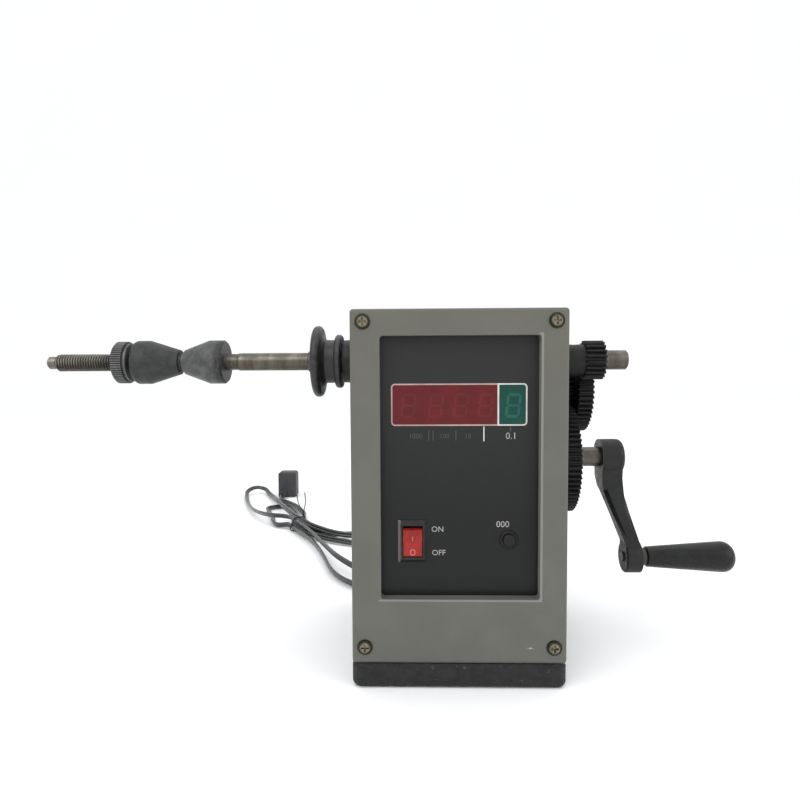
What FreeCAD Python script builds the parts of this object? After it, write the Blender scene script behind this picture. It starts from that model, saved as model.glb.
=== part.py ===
"""Hand-cranked coil winding machine with an electronic turns counter.

Sizes are millimetres. The origin is the centre of the base's bolt pattern, on the face that meets the
bench. +X runs along the spindle towards the crank, +Y from the front panel to the back, +Z is up.
"""
import FreeCAD, Part
import math
import os
import re
import Sketcher

Vector = FreeCAD.Vector
doc = FreeCAD.newDocument("coil_winder")
sheet = doc.addObject("Spreadsheet::Sheet", "sizes")

SIZES = [
    # cast base
    ("base_width", 110.4, "base, side to side"),
    ("base_depth", 122.0, "base, front to back"),
    ("base_height", 12.7, "base thickness, where the housing stands"),
    ("base_corner", 5.0, "radius of the base's upright corners"),
    ("base_edge", 1.6, "chamfer round the top of the base"),
    ("base_foot_round", 3.4, "rounding of the base's lower edges"),
    ("foot_width", 27.5, "corner foot pad, side to side"),
    ("foot_depth", 34.0, "corner foot pad, front to back"),
    ("foot_rise", 1.0, "how far the underside is cut back between the pads"),
    ("bench_bolt_across", 83.0, "bench bolt holes, side to side"),
    ("bench_bolt_along", 92.0, "bench bolt holes, front to back"),
    ("bench_bolt_radius", 2.5, "tapping drill of the M6 bench bolt holes"),
    ("bench_bolt_depth", 10.0, "depth of the bench bolt holes"),
    # cast housing frame
    ("frame_width", 106.0, "housing frame, side to side"),
    ("frame_depth", 104.0, "housing frame, front to back"),
    ("frame_height", 180.0, "housing frame, bottom to top"),
    ("frame_wall", 5.0, "cast wall"),
    ("frame_corner", 3.5, "outer corner radius of the housing frame"),
    ("frame_gusset", 10.0, "corner metal that takes the cover screws"),
    ("frame_screw_across", 56.0, "screws that hold the frame to the base, side to side"),
    ("frame_screw_along", 70.0, "screws that hold the frame to the base, front to back"),
    # gear train axes
    ("spindle_y", -16.5, "spindle axis, from the middle of the base"),
    ("spindle_z", 168.6, "spindle axis, above the bench"),
    ("tooth_module", 1.0, "gear module"),
    ("teeth_crank", 64, "teeth of the crank gear"),
    ("teeth_idler_small", 20, "teeth of the idler's pinion"),
    ("teeth_idler_large", 50, "teeth of the idler's large gear"),
    ("teeth_spindle", 20, "teeth of the spindle pinion"),
    ("idler_lean", 29.3, "slope of the line from spindle to idler, degrees below level"),
    ("crank_lean", 5.5, "slope of the line from idler to crank, degrees off plumb"),
    ("pressure_angle", 20.0, "gear pressure angle in degrees"),
    ("tooth_slack", 0.14, "thinning of each tooth at the pitch circle"),
    # bearing bosses and bushes
    ("boss_radius", 12.0, "cast boss round a bush"),
    ("spindle_boss_end", 62.2, "outer face of the spindle's bosses, from the middle"),
    ("crank_boss_end", 62.4, "outer face of the crank's boss"),
    ("idler_boss_radius", 9.0, "cast boss round the idler stud"),
    ("idler_boss_end", 61.0, "outer face of the idler's boss"),
    ("boss_inner_end", 44.0, "inner face of the bosses, from the middle"),
    ("bush_radius", 8.0, "outside of a bush"),
    ("bush_bore", 6.0, "bore radius of a bush"),
    ("bush_flange_radius", 9.6, "flange of a bush"),
    ("bush_flange", 1.6, "thickness of a bush's flange"),
    # covers
    ("cover_width", 110.0, "covers, side to side"),
    ("cover_height", 181.8, "covers, bottom to top"),
    ("cover_depth", 8.0, "covers, front to back"),
    ("cover_skin", 3.0, "cover wall"),
    ("cover_edge", 1.8, "rounding of the covers' outer edges"),
    ("cover_screw_across", 96.8, "cover screws, side to side"),
    ("cover_screw_low", 21.5, "lower cover screws, above the bench"),
    ("cover_screw_high", 188.0, "upper cover screws, above the bench"),
    ("screw_head_radius", 3.5, "cover screw head"),
    ("screw_head_height", 2.4, "cover screw head"),
    ("screw_radius", 1.95, "cover screw shank"),
    ("screw_hole", 2.25, "clearance hole in a cover"),
    ("screw_tap", 2.0, "threaded hole in the frame"),
    ("screw_length", 18.0, "cover screw under its head"),
    # front window and control panel
    ("window_left", -40.0, "left edge of the cover's window"),
    ("window_right", 41.0, "right edge of the cover's window"),
    ("window_low", 46.5, "lower edge of the cover's window"),
    ("window_high", 181.0, "upper edge of the cover's window"),
    ("window_corner", 1.8, "corner radius of the window"),
    ("window_lip", 2.5, "wall turned in round the window"),
    ("panel_recess", 6.0, "control panel behind the cover's face"),
    ("panel_thickness", 2.0, "control panel plate"),
    ("display_left", -34.0, "left edge of the display windows"),
    ("display_split", 20.4, "bar between the two display windows"),
    ("display_right", 34.6, "right edge of the display windows"),
    ("display_low", 135.5, "lower edge of the display windows"),
    ("display_high", 156.2, "upper edge of the display windows"),
    ("display_bar", 1.2, "width of the bar between the windows"),
    ("digit_depth", 8.0, "depth of a numeral module"),
    ("digit_height", 19.0, "height of a numeral module"),
    ("digit_pitch", 12.9, "width of one numeral"),
    ("board_thickness", 1.6, "circuit board"),
    ("board_width", 84.0, "circuit board, side to side"),
    ("board_low", 92.0, "lower edge of the circuit board"),
    ("board_high", 172.0, "upper edge of the circuit board"),
    ("spacer_radius", 3.0, "board spacer"),
    # switch and button
    ("switch_x", -23.7, "middle of the switch"),
    ("switch_z", 75.2, "middle of the switch"),
    ("switch_width", 15.2, "switch bezel, side to side"),
    ("switch_height", 21.8, "switch bezel, bottom to top"),
    ("switch_rim", 1.9, "how far the bezel stands off the panel"),
    ("switch_cut_width", 13.0, "panel cut-out for the switch"),
    ("switch_cut_height", 19.0, "panel cut-out for the switch"),
    ("rocker_width", 9.8, "rocker, side to side"),
    ("rocker_height", 15.8, "rocker, bottom to top"),
    ("rocker_tilt", 9.0, "rocker's slope on each side of level, degrees"),
    ("rocker_pin_radius", 1.2, "pivots on the rocker's sides"),
    ("rocker_pin_length", 0.8, "how far each pivot stands out"),
    ("button_x", 26.0, "middle of the reset button"),
    ("button_z", 75.8, "middle of the reset button"),
    ("button_collar_radius", 4.8, "collar round the button"),
    ("button_radius", 3.3, "button cap"),
    ("button_barrel_radius", 3.9, "button barrel through the panel"),
    # spindle and what is on it
    ("shaft_radius", 5.95, "twelve millimetre shafts"),
    ("spindle_tip", -233.6, "free end of the threaded nose"),
    ("spindle_tip_radius", 3.6, "plain tip of the nose"),
    ("thread_start", -228.0, "free end of the thread"),
    ("thread_radius", 4.95, "crest of the M10 thread"),
    ("relief_start", -130.2, "undercut behind the thread"),
    ("relief_end", -122.6, "undercut behind the thread"),
    ("relief_radius", 4.6, "undercut behind the thread"),
    ("nose_radius", 5.0, "plain part of the nose"),
    ("spindle_step", -82.8, "shoulder where the full shaft starts"),
    ("spindle_end", 97.4, "crank-side end of the spindle"),
    ("tail_start", 84.3, "shoulder beyond the pinion"),
    ("tail_radius", 5.5, "turned-down free end beyond the pinion"),
    ("cone_radius", 12.4, "large end of a centring cone"),
    ("cone_small_radius", 7.05, "small end of a centring cone"),
    ("cone_bore", 5.03, "bore of the cones and the nut"),
    ("spigot_radius", 5.75, "spigot at a cone's small end"),
    ("spigot_length", 1.4, "spigot at a cone's small end"),
    ("inner_cone_face", -153.6, "small end of the inner cone"),
    ("inner_cone_rim", -139.4, "where the inner cone's taper ends"),
    ("inner_cone_back", -130.2, "large end of the inner cone"),
    ("outer_cone_face", -156.8, "small end of the outer cone"),
    ("outer_cone_rim", -173.7, "where the outer cone's taper ends"),
    ("outer_cone_back", -181.8, "large end of the outer cone"),
    ("nut_left", -193.2, "free side of the knurled nut"),
    ("nut_right", -184.7, "cone side of the knurled nut"),
    ("nut_radius", 12.0, "knurled nut"),
    ("nut_step_radius", 10.9, "turned step on the nut"),
    ("nut_step", 1.3, "length of the turned step"),
    ("wheel_left", -79.5, "free side of the hand wheel"),
    ("wheel_right", -63.3, "housing side of the hand wheel"),
    ("wheel_radius", 20.2, "large flange of the hand wheel"),
    ("wheel_rim", 5.0, "thickness of the large flange"),
    ("wheel_groove_radius", 12.3, "belt groove of the hand wheel"),
    ("wheel_small_radius", 15.15, "small flange of the hand wheel"),
    ("wheel_small_rim", 3.7, "thickness of the small flange"),
    ("pinion_left", 72.9, "toothed part of the spindle pinion"),
    ("pinion_right", 83.9, "toothed part of the spindle pinion"),
    ("pinion_hub_left", 62.6, "hub of the spindle pinion"),
    ("pinion_hub_radius", 8.9, "hub of the spindle pinion"),
    ("collar_radius", 10.0, "collars that hold the spindle endways"),
    ("collar_length", 8.0, "collars that hold the spindle endways"),
    ("disc_x", -19.0, "middle of the slotted counting disc"),
    ("disc_radius", 17.0, "slotted counting disc"),
    ("disc_thickness", 1.2, "slotted counting disc"),
    ("disc_slots", 8, "slots in the counting disc"),
    ("grub_radius", 2.0, "grub screws"),
    # idler
    ("stud_radius", 4.0, "idler stud"),
    ("idler_left", 61.6, "housing side of the idler"),
    ("idler_step", 73.0, "where the idler's large gear starts"),
    ("idler_right", 81.4, "crank side of the idler's large gear"),
    ("idler_bush_radius", 5.5, "bush in the idler"),
    ("idler_bush_bore", 4.05, "bore of the idler's bush"),
    # crank
    ("crank_gear_left", 64.2, "housing side of the crank gear"),
    ("crank_gear_right", 72.2, "crank side of the crank gear"),
    ("crank_hub_radius", 10.8, "hub of the crank arm"),
    ("crank_hub_left", 90.3, "hub of the crank arm"),
    ("crank_hub_right", 104.0, "hub of the crank arm"),
    ("crank_throw", 62.3, "crank axis to grip axis"),
    ("crank_boss_radius", 9.6, "lower boss of the crank arm"),
    ("crank_boss_left", 106.0, "lower boss of the crank arm"),
    ("crank_boss_right", 115.6, "lower boss of the crank arm"),
    ("arm_width_top", 15.0, "arm below the hub"),
    ("arm_width_low", 11.0, "arm above the lower boss"),
    ("grip_left", 119.7, "arm side of the grip"),
    ("grip_right", 173.2, "free end of the grip"),
    ("grip_radius_left", 6.2, "grip at the arm"),
    ("grip_radius_right", 9.4, "grip at its thickest"),
    ("grip_thickest", 165.5, "where the grip is thickest"),
    ("grip_pin_radius", 3.0, "pin that the grip turns on"),
    ("grip_pin_shoulder", 5.2, "shoulder between boss and grip"),
    # mains lead
    ("cord_radius", 2.8, "mains lead"),
    ("cord_floor", 3.0, "middle of the lead where it lies on the bench"),
    ("gland_x", 35.0, "strain relief on the back cover"),
    ("gland_z", 34.0, "strain relief on the back cover"),
    ("gland_length", 28.0, "strain relief outside the cover"),
    ("tie_x", -139.0, "middle of the tied waist"),
    ("tie_y", 245.0, "middle of the tied waist"),
    ("waist_angle", 120.0, "direction of the strands through the tie, degrees from +X"),
    ("waist_pitch", 6.5, "strands side by side in the tie"),
    ("waist_low", 4.6, "lower layer of strands in the tie"),
    ("waist_rise", 6.2, "upper layer above the lower one"),
    ("waist_straight", 9.0, "half the straight length of each strand in the tie"),
    ("tie_wire_radius", 0.6, "wire tie"),
    ("plug_x", -184.5, "middle of the plug"),
    ("plug_y", 406.0, "lead side of the plug"),
    ("plug_width", 23.0, "plug, side to side"),
    ("plug_depth", 18.0, "plug, lead side to pin side"),
    ("plug_height", 32.0, "plug, as it stands on the bench"),
]
NAMES = {alias for alias, value, note in SIZES}
for row, (alias, value, note) in enumerate(SIZES, start=1):
    sheet.set(f"A{row}", note)
    sheet.set(f"B{row}", str(value))
    sheet.setAlias(f"B{row}", alias)
doc.recompute()


def bound(text):
    """The expression with each size's name pointing at its cell."""
    def cell(hit):
        word = hit.group()
        return f"sizes.{word}" if word in NAMES else word

    return re.sub(r"[a-z_]\w*", cell, text)


def worth(text):
    """The number that an expression in the sheet's names comes to."""
    return float(sheet.evalExpression(bound(text)))


def bind(thing, path, text):
    thing.setExpression(path, bound(text))


# Places worked out from the gear centres, as expressions.
SPINDLE = ("spindle_y", "spindle_z")
FIRST_GAP = "(teeth_spindle + teeth_idler_large) * tooth_module / 2"
SECOND_GAP = "(teeth_crank + teeth_idler_small) * tooth_module / 2"
IDLER = (
    f"spindle_y + {FIRST_GAP} * cos(idler_lean * 1deg)",
    f"spindle_z - {FIRST_GAP} * sin(idler_lean * 1deg)",
)
CRANK = (
    f"{IDLER[0]} - {SECOND_GAP} * sin(crank_lean * 1deg)",
    f"{IDLER[1]} - {SECOND_GAP} * cos(crank_lean * 1deg)",
)
GRIP = (CRANK[0], f"{CRANK[1]} - crank_throw")
FRONT = "-(frame_depth / 2 + cover_depth)"
BACK = "frame_depth / 2 + cover_depth"
PANEL_FACE = "-(frame_depth / 2 + cover_depth) + panel_recess"
PANEL_BACK = "-(frame_depth / 2 + cover_depth) + panel_recess + panel_thickness"
ROCKER_AXIS = f"{PANEL_FACE} + 2.4"
FRAME_TOP = "base_height + frame_height"
FRAME_FLOOR = "base_height + frame_wall"


def new_body(label):
    body = doc.addObject("PartDesign::Body", label)
    body.Label = label
    return body


def new_sketch(body, name, role, shift=("0", "0", "0")):
    """A sketch on one of the body's own origin planes, shifted in the sketch's own directions."""
    drawing = body.newObject("Sketcher::SketchObject", name)
    plane = next(item for item in body.Origin.OriginFeatures if item.Role == role)
    drawing.AttachmentSupport = (plane, [""])
    drawing.MapMode = "FlatFace"
    for letter, text in zip("xyz", shift):
        bind(drawing, f"AttachmentOffset.Base.{letter}", text)
    return drawing


def fix_point(drawing, line, end, place):
    """Bind one end of a line, or a circle's middle, to a pair of expressions."""
    for kind, text in zip(("DistanceX", "DistanceY"), place):
        spot = drawing.addConstraint(Sketcher.Constraint(kind, -1, 1, line, end, worth(text)))
        bind(drawing, f"Constraints[{spot}]", text)


def outline(drawing, corners):
    """A closed outline of straight edges through the corners, each a pair of expressions."""
    spots = [Vector(worth(across), worth(up), 0) for across, up in corners]
    first = len(drawing.Geometry)
    count = len(spots)
    for step in range(count):
        drawing.addGeometry(Part.LineSegment(spots[step], spots[(step + 1) % count]), False)
    for step in range(count):
        drawing.addConstraint(
            Sketcher.Constraint("Coincident", first + step, 2, first + (step + 1) % count, 1))
    for step, corner in enumerate(corners):
        fix_point(drawing, first + step, 1, corner)


def box_outline(drawing, left, right, low, high):
    outline(drawing, [(left, low), (right, low), (right, high), (left, high)])


def rings(drawing, places, radius):
    """Circles of one radius at the places, each a pair of expressions."""
    for across, up in places:
        line = drawing.addGeometry(
            Part.Circle(Vector(worth(across), worth(up), 0), Vector(0, 0, 1), worth(radius)), False)
        fix_point(drawing, line, 3, (across, up))
        spot = drawing.addConstraint(Sketcher.Constraint("Radius", line, worth(radius)))
        bind(drawing, f"Constraints[{spot}]", radius)


def feature(body, kind, name, drawing, backwards=False, **sizes):
    made = body.newObject(f"PartDesign::{kind}", name)
    made.Profile = drawing
    if kind in ("Revolution", "Groove"):
        made.ReferenceAxis = (drawing, ["H_Axis"])
        made.Angle = 360
    else:
        made.Reversed = backwards
    for path, text in sizes.items():
        bind(made, path, text)
    before = body.Shape.Volume if body.Shape and not body.Shape.isNull() else 0.0
    doc.recompute()
    after = body.Shape.Volume
    grew = kind in ("Pad", "Revolution")
    if (after > before) != grew or abs(after - before) < 1e-6:
        raise RuntimeError(f"{body.Label}: {name} changed the volume from {before:.1f} to {after:.1f}")
    return made


def edges_where(body, test):
    """Names of the edges of the body's last feature that pass the test."""
    edges = body.Tip.Shape.Edges
    return [f"Edge{number}" for number, edge in enumerate(edges, start=1)
            if not edge.Degenerated and test(edge)]


def dress(body, kind, name, size, test):
    """A fillet or chamfer on the edges that pass the test."""
    names = edges_where(body, test)
    if not names:
        raise RuntimeError(f"{body.Label}: no edge for {name}")
    base = body.Tip
    made = body.newObject(f"PartDesign::{kind}", name)
    made.Base = (base, names)
    bind(made, "Radius" if kind == "Fillet" else "Size", size)
    doc.recompute()
    return made


def upright(edge, axis):
    """True for a straight edge along the axis, given as 0, 1 or 2."""
    run = edge.Vertexes[-1].Point - edge.Vertexes[0].Point
    return abs(abs(run[axis]) - edge.Length) < 1e-6


def at(edge, axis, place):
    """True for an edge that lies wholly in the plane at the place along the axis."""
    spots = [point[axis] for point in edge.discretize(5)]
    return max(abs(spot - place) for spot in spots) < 1e-4


def ring_at(edge, place, radius):
    """True for a whole circle round the X axis at the place, of the radius."""
    return at(edge, 0, place) and abs(edge.Length - 2 * math.pi * radius) < 1e-4


def turned(label, axis, corners):
    """A piece turned about an axis along X: corners are (place along X, radius)."""
    body = new_body(label)
    bind(body, "Placement.Base.y", axis[0])
    bind(body, "Placement.Base.z", axis[1])
    drawing = new_sketch(body, f"{label}_profile", "XZ_Plane")
    outline(drawing, corners)
    feature(body, "Revolution", f"{label}_turn", drawing)
    return body


def grub_hole(body, label, place, reach):
    """A radial threaded hole, upwards from the body's X axis."""
    drawing = new_sketch(body, f"{label}_hole_sketch", "XY_Plane", ("0", "0", "0"))
    rings(drawing, [(place, "0")], "grub_radius")
    feature(body, "Pocket", f"{label}_hole", drawing, backwards=True, Length=reach)


def solid_piece(label, shape, place=None):
    piece = doc.addObject("Part::Feature", label)
    piece.Label = label
    piece.Shape = shape
    piece.Placement = place or FreeCAD.Placement()
    return piece


# Cast base.

def make_base():
    body = new_body("base_casting")
    plan = new_sketch(body, "base_plan", "XY_Plane")
    box_outline(plan, "-base_width / 2", "base_width / 2", "-base_depth / 2", "base_depth / 2")
    feature(body, "Pad", "base_slab", plan, Length="base_height")
    dress(body, "Fillet", "base_corners", "base_corner", lambda edge: upright(edge, 2))
    dress(body, "Fillet", "base_lower_edge", "base_foot_round", lambda edge: at(edge, 2, 0))
    top = worth("base_height")
    dress(body, "Chamfer", "base_top_edge", "base_edge", lambda edge: at(edge, 2, top))
    cross = new_sketch(body, "base_relief_across", "XY_Plane")
    half, foot = "base_width / 2", "base_width / 2 - foot_width"
    box_outline(cross, f"-({foot})", foot, "-base_depth / 2 - 1", "base_depth / 2 + 1")
    feature(body, "Pocket", "base_relief_x", cross, backwards=True, Length="foot_rise")
    along = new_sketch(body, "base_relief_along", "XY_Plane")
    gap = "base_depth / 2 - foot_depth"
    box_outline(along, f"-({half}) - 1", f"{half} + 1", f"-({gap})", gap)
    feature(body, "Pocket", "base_relief_y", along, backwards=True, Length="foot_rise")
    holes = new_sketch(body, "bench_bolt_places", "XY_Plane")
    corners = [(f"{sx} * bench_bolt_across / 2", f"{sy} * bench_bolt_along / 2")
               for sx in (-1, 1) for sy in (-1, 1)]
    rings(holes, corners, "bench_bolt_radius")
    feature(body, "Pocket", "bench_bolt_holes", holes, backwards=True, Length="bench_bolt_depth")
    screws = new_sketch(body, "frame_screw_places", "XY_Plane")
    rings(screws, FRAME_SCREWS, "screw_radius + 0.6")
    feature(body, "Pocket", "frame_screw_holes", screws, backwards=True, Length="base_height + 1")
    seats = new_sketch(body, "frame_screw_seats", "XY_Plane")
    rings(seats, FRAME_SCREWS, "screw_head_radius + 1")
    feature(body, "Pocket", "frame_screw_recesses", seats, backwards=True, Length="screw_head_height + 3")


FRAME_SCREWS = [(f"{sx} * frame_screw_across / 2", f"{sy} * frame_screw_along / 2")
                for sx in (-1, 1) for sy in (-1, 1)]
COVER_SCREWS = [(f"{sx} * cover_screw_across / 2", level)
                for sx in (-1, 1) for level in ("cover_screw_low", "cover_screw_high")]


def make_frame_screws():
    """Four screws up through the base into the housing frame."""
    body = new_body("frame_screws")
    under = "screw_head_height + 3"
    heads = new_sketch(body, "frame_screw_heads", "XY_Plane", ("0", "0", "3"))
    rings(heads, FRAME_SCREWS, "screw_head_radius + 0.6")
    feature(body, "Pad", "frame_screw_head", heads, Length="screw_head_height")
    shanks = new_sketch(body, "frame_screw_shanks", "XY_Plane", ("0", "0", under))
    rings(shanks, FRAME_SCREWS, "screw_radius")
    feature(body, "Pad", "frame_screw_shank", shanks, Length=f"{FRAME_FLOOR} - ({under})")


# Cast housing frame: a box open at the front and the back, with bosses for the shafts.

def boss(body, name, axis, inner, outer, radius, flare="0"):
    """A round boss along X through a side wall, a little wider at its inner end."""
    drawing = new_sketch(body, f"{name}_profile", "XZ_Plane", ("0", axis[1], f"-({axis[0]})"))
    outline(drawing, [(inner, "0"), (outer, "0"), (outer, radius), (inner, f"{radius} + {flare}")])
    feature(body, "Revolution", name, drawing)


def bore(body, name, axis, start, length, radius, backwards):
    drawing = new_sketch(body, f"{name}_sketch", "YZ_Plane", ("0", "0", start))
    rings(drawing, [axis], radius)
    feature(body, "Pocket", name, drawing, backwards=backwards, Length=length)


def make_frame():
    body = new_body("frame_casting")
    section = new_sketch(body, "frame_section", "XZ_Plane", ("0", "0", "-frame_depth / 2"))
    box_outline(section, "-frame_width / 2", "frame_width / 2", "base_height", FRAME_TOP)
    inner, gusset = "frame_width / 2 - frame_wall", "frame_gusset"
    low, high = FRAME_FLOOR, f"{FRAME_TOP} - frame_wall"
    outline(section, [
        (f"-({inner}) + {gusset}", low), (f"{inner} - {gusset}", low), (inner, f"{low} + {gusset}"),
        (inner, f"{high} - {gusset}"), (f"{inner} - {gusset}", high), (f"-({inner}) + {gusset}", high),
        (f"-({inner})", f"{high} - {gusset}"), (f"-({inner})", f"{low} + {gusset}")])
    feature(body, "Pad", "frame_walls", section, Length="frame_depth")
    side = worth("frame_width / 2")
    dress(body, "Fillet", "frame_corners", "frame_corner",
          lambda edge: upright(edge, 1) and abs(abs(edge.CenterOfMass.x) - side) < 1e-4)
    boss(body, "boss_spindle_left", SPINDLE, "-boss_inner_end", "-spindle_boss_end", "boss_radius", "1.2")
    boss(body, "boss_spindle_right", SPINDLE, "boss_inner_end", "spindle_boss_end", "boss_radius", "0.6")
    boss(body, "boss_crank_right", CRANK, "boss_inner_end", "crank_boss_end", "boss_radius", "0.6")
    boss(body, "boss_crank_left", CRANK, "-boss_inner_end", "-(frame_width / 2 - 1)", "boss_radius")
    boss(body, "boss_idler", IDLER, "boss_inner_end", "idler_boss_end", "idler_boss_radius", "0.6")
    wide = "frame_width / 2"
    bore(body, "bore_spindle", SPINDLE, "-spindle_boss_end - 1", "2 * spindle_boss_end + 2", "bush_radius",
         True)
    bore(body, "bore_crank_right", CRANK, "0", "crank_boss_end + 1", "bush_radius", True)
    bore(body, "bore_crank_left", CRANK, f"-({wide} - 2)", wide, "bush_radius", True)
    bore(body, "bore_idler", IDLER, "0", "idler_boss_end + 1", "stud_radius", True)
    for name, start, backwards in (("front", "frame_depth / 2", True), ("back", "-frame_depth / 2", False)):
        taps = new_sketch(body, f"taps_{name}_sketch", "XZ_Plane", ("0", "0", start))
        rings(taps, COVER_SCREWS, "screw_tap")
        feature(body, "Pocket", f"taps_{name}", taps, backwards=not backwards, Length="screw_length")
    taps = new_sketch(body, "taps_base_sketch", "XY_Plane", ("0", "0", "base_height - 1"))
    rings(taps, FRAME_SCREWS, "screw_radius")
    feature(body, "Pocket", "taps_base", taps, backwards=True, Length="frame_wall + 1")


def make_bushes(label, axis, right_end, left_end):
    """Two flanged bushes, one in each side wall, their flanges inside the housing."""
    body = new_body(label)
    bind(body, "Placement.Base.y", axis[0])
    bind(body, "Placement.Base.z", axis[1])
    for side, sign, end in (("right", "1", right_end), ("left", "-1", left_end)):
        drawing = new_sketch(body, f"{label}_{side}", "XZ_Plane")
        inner, flange = f"{sign} * boss_inner_end", f"{sign} * (boss_inner_end - bush_flange)"
        outline(drawing, [
            (flange, "bush_bore"), (end, "bush_bore"), (end, "bush_radius"), (inner, "bush_radius"),
            (inner, "bush_flange_radius"), (flange, "bush_flange_radius")])
        feature(body, "Revolution", f"{label}_{side}_turn", drawing)


# Front and back covers.

def cover_body(label, name, outside, inside):
    """A shallow dish: outer block, rounded outer edges, hollow from the frame side, four screw posts.

    The outside and inside are distances along -Y of the cover's outer face and of the frame's edge.
    """
    body = new_body(label)
    facing = 1 if worth(outside) > worth(inside) else -1
    face = new_sketch(body, f"{name}_face", "XZ_Plane", ("0", "0", inside))
    box_outline(face, "-cover_width / 2", "cover_width / 2", "base_height", "base_height + cover_height")
    feature(body, "Pad", f"{name}_block", face, backwards=facing < 0, Length="cover_depth")
    dress(body, "Fillet", f"{name}_corners", "cover_edge", lambda edge: upright(edge, 1))
    outer = -worth(outside)
    dress(body, "Fillet", f"{name}_edges", "cover_edge", lambda edge: at(edge, 1, outer))
    hollow = new_sketch(body, f"{name}_hollow_sketch", "XZ_Plane", ("0", "0", inside))
    inner, post = "cover_width / 2 - cover_skin", "12"
    low, high = "base_height + cover_skin", "base_height + cover_height - cover_skin"
    outline(hollow, [
        (f"-({inner}) + {post}", low), (f"{inner} - {post}", low), (inner, f"{low} + {post}"),
        (inner, f"{high} - {post}"), (f"{inner} - {post}", high), (f"-({inner}) + {post}", high),
        (f"-({inner})", f"{high} - {post}"), (f"-({inner})", f"{low} + {post}")])
    feature(body, "Pocket", f"{name}_hollow", hollow, backwards=facing > 0, Length="cover_depth - cover_skin")
    holes = new_sketch(body, f"{name}_screw_holes_sketch", "XZ_Plane", ("0", "0", inside))
    rings(holes, COVER_SCREWS, "screw_hole")
    feature(body, "Pocket", f"{name}_screw_holes", holes, backwards=facing > 0, Length="cover_depth + 1")
    seats = new_sketch(body, f"{name}_screw_seats_sketch", "XZ_Plane", ("0", "0", outside))
    rings(seats, COVER_SCREWS, "screw_head_radius + 0.6")
    feature(body, "Pocket", f"{name}_screw_seats", seats, backwards=facing < 0, Length="0.8")
    return body


def make_front_cover():
    outside, inside = "frame_depth / 2 + cover_depth", "frame_depth / 2"
    body = cover_body("front_cover", "front", outside, inside)
    lip = new_sketch(body, "window_lip_sketch", "XZ_Plane", ("0", "0", f"{outside} - panel_recess"))
    box_outline(lip, "window_left - window_lip", "window_right + window_lip",
                "window_low - window_lip", "window_high + window_lip")
    feature(body, "Pad", "window_lip_wall", lip, Length="panel_recess - 1")
    opening = new_sketch(body, "window_sketch", "XZ_Plane", ("0", "0", f"{outside} + 1"))
    box_outline(opening, "window_left", "window_right", "window_low", "window_high")
    feature(body, "Pocket", "window_opening", opening, Length="cover_depth + 2")
    left, right = worth("window_left"), worth("window_right")
    low, high = worth("window_low"), worth("window_high")

    def window_corner(edge):
        spot = edge.CenterOfMass
        on_side = min(abs(spot.x - left), abs(spot.x - right)) < 1e-4
        on_end = min(abs(spot.z - low), abs(spot.z - high)) < 1e-4
        return upright(edge, 1) and on_side and on_end

    dress(body, "Fillet", "window_corners", "window_corner", window_corner)


def make_rear_cover():
    outside, inside = "-(frame_depth / 2 + cover_depth)", "-frame_depth / 2"
    body = cover_body("rear_cover", "rear", outside, inside)
    hole = new_sketch(body, "gland_hole_sketch", "XZ_Plane", ("0", "0", outside))
    rings(hole, [("gland_x", "gland_z")], "6")
    feature(body, "Pocket", "gland_hole", hole, backwards=True, Length="cover_depth")


def make_cover_screws(label, sign):
    """Four pan-head screws with crossed recesses, heads seated in the cover's shallow recesses."""
    body = new_body(label)
    seat = f"{sign} * (frame_depth / 2 + cover_depth - 0.8)"
    out = sign > 0
    heads = new_sketch(body, f"{label}_heads", "XZ_Plane", ("0", "0", seat))
    rings(heads, COVER_SCREWS, "screw_head_radius")
    feature(body, "Pad", f"{label}_head", heads, backwards=not out, Length="screw_head_height")
    top = -sign * worth("frame_depth / 2 + cover_depth - 0.8 + screw_head_height")
    dress(body, "Fillet", f"{label}_dome", "screw_head_height * 0.6", lambda edge: at(edge, 1, top))
    shanks = new_sketch(body, f"{label}_shanks", "XZ_Plane", ("0", "0", seat))
    rings(shanks, COVER_SCREWS, "screw_radius")
    feature(body, "Pad", f"{label}_shank", shanks, backwards=out, Length="screw_length")
    slots = new_sketch(body, f"{label}_slots", "XZ_Plane", ("0", "0", f"{seat} + {sign} * screw_head_height"))
    for across, up in COVER_SCREWS:
        arm, half = "2", "0.5"
        outline(slots, [
            (f"{across} - {arm}", f"{up} - {half}"), (f"{across} - {half}", f"{up} - {half}"),
            (f"{across} - {half}", f"{up} - {arm}"), (f"{across} + {half}", f"{up} - {arm}"),
            (f"{across} + {half}", f"{up} - {half}"), (f"{across} + {arm}", f"{up} - {half}"),
            (f"{across} + {arm}", f"{up} + {half}"), (f"{across} + {half}", f"{up} + {half}"),
            (f"{across} + {half}", f"{up} + {arm}"), (f"{across} - {half}", f"{up} + {arm}"),
            (f"{across} - {half}", f"{up} + {half}"), (f"{across} - {arm}", f"{up} + {half}")])
    feature(body, "Pocket", f"{label}_recess", slots, backwards=not out, Length="1.4")


# Control panel with its displays, board, switch and button.

def slab(label, left, right, low, high, front, back):
    """A plate or block facing the front: front and back are places along Y."""
    body = new_body(label)
    face = new_sketch(body, f"{label}_face", "XZ_Plane", ("0", "0", f"-({back})"))
    box_outline(face, left, right, low, high)
    feature(body, "Pad", f"{label}_block", face, Length=f"({back}) - ({front})")
    return body


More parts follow.
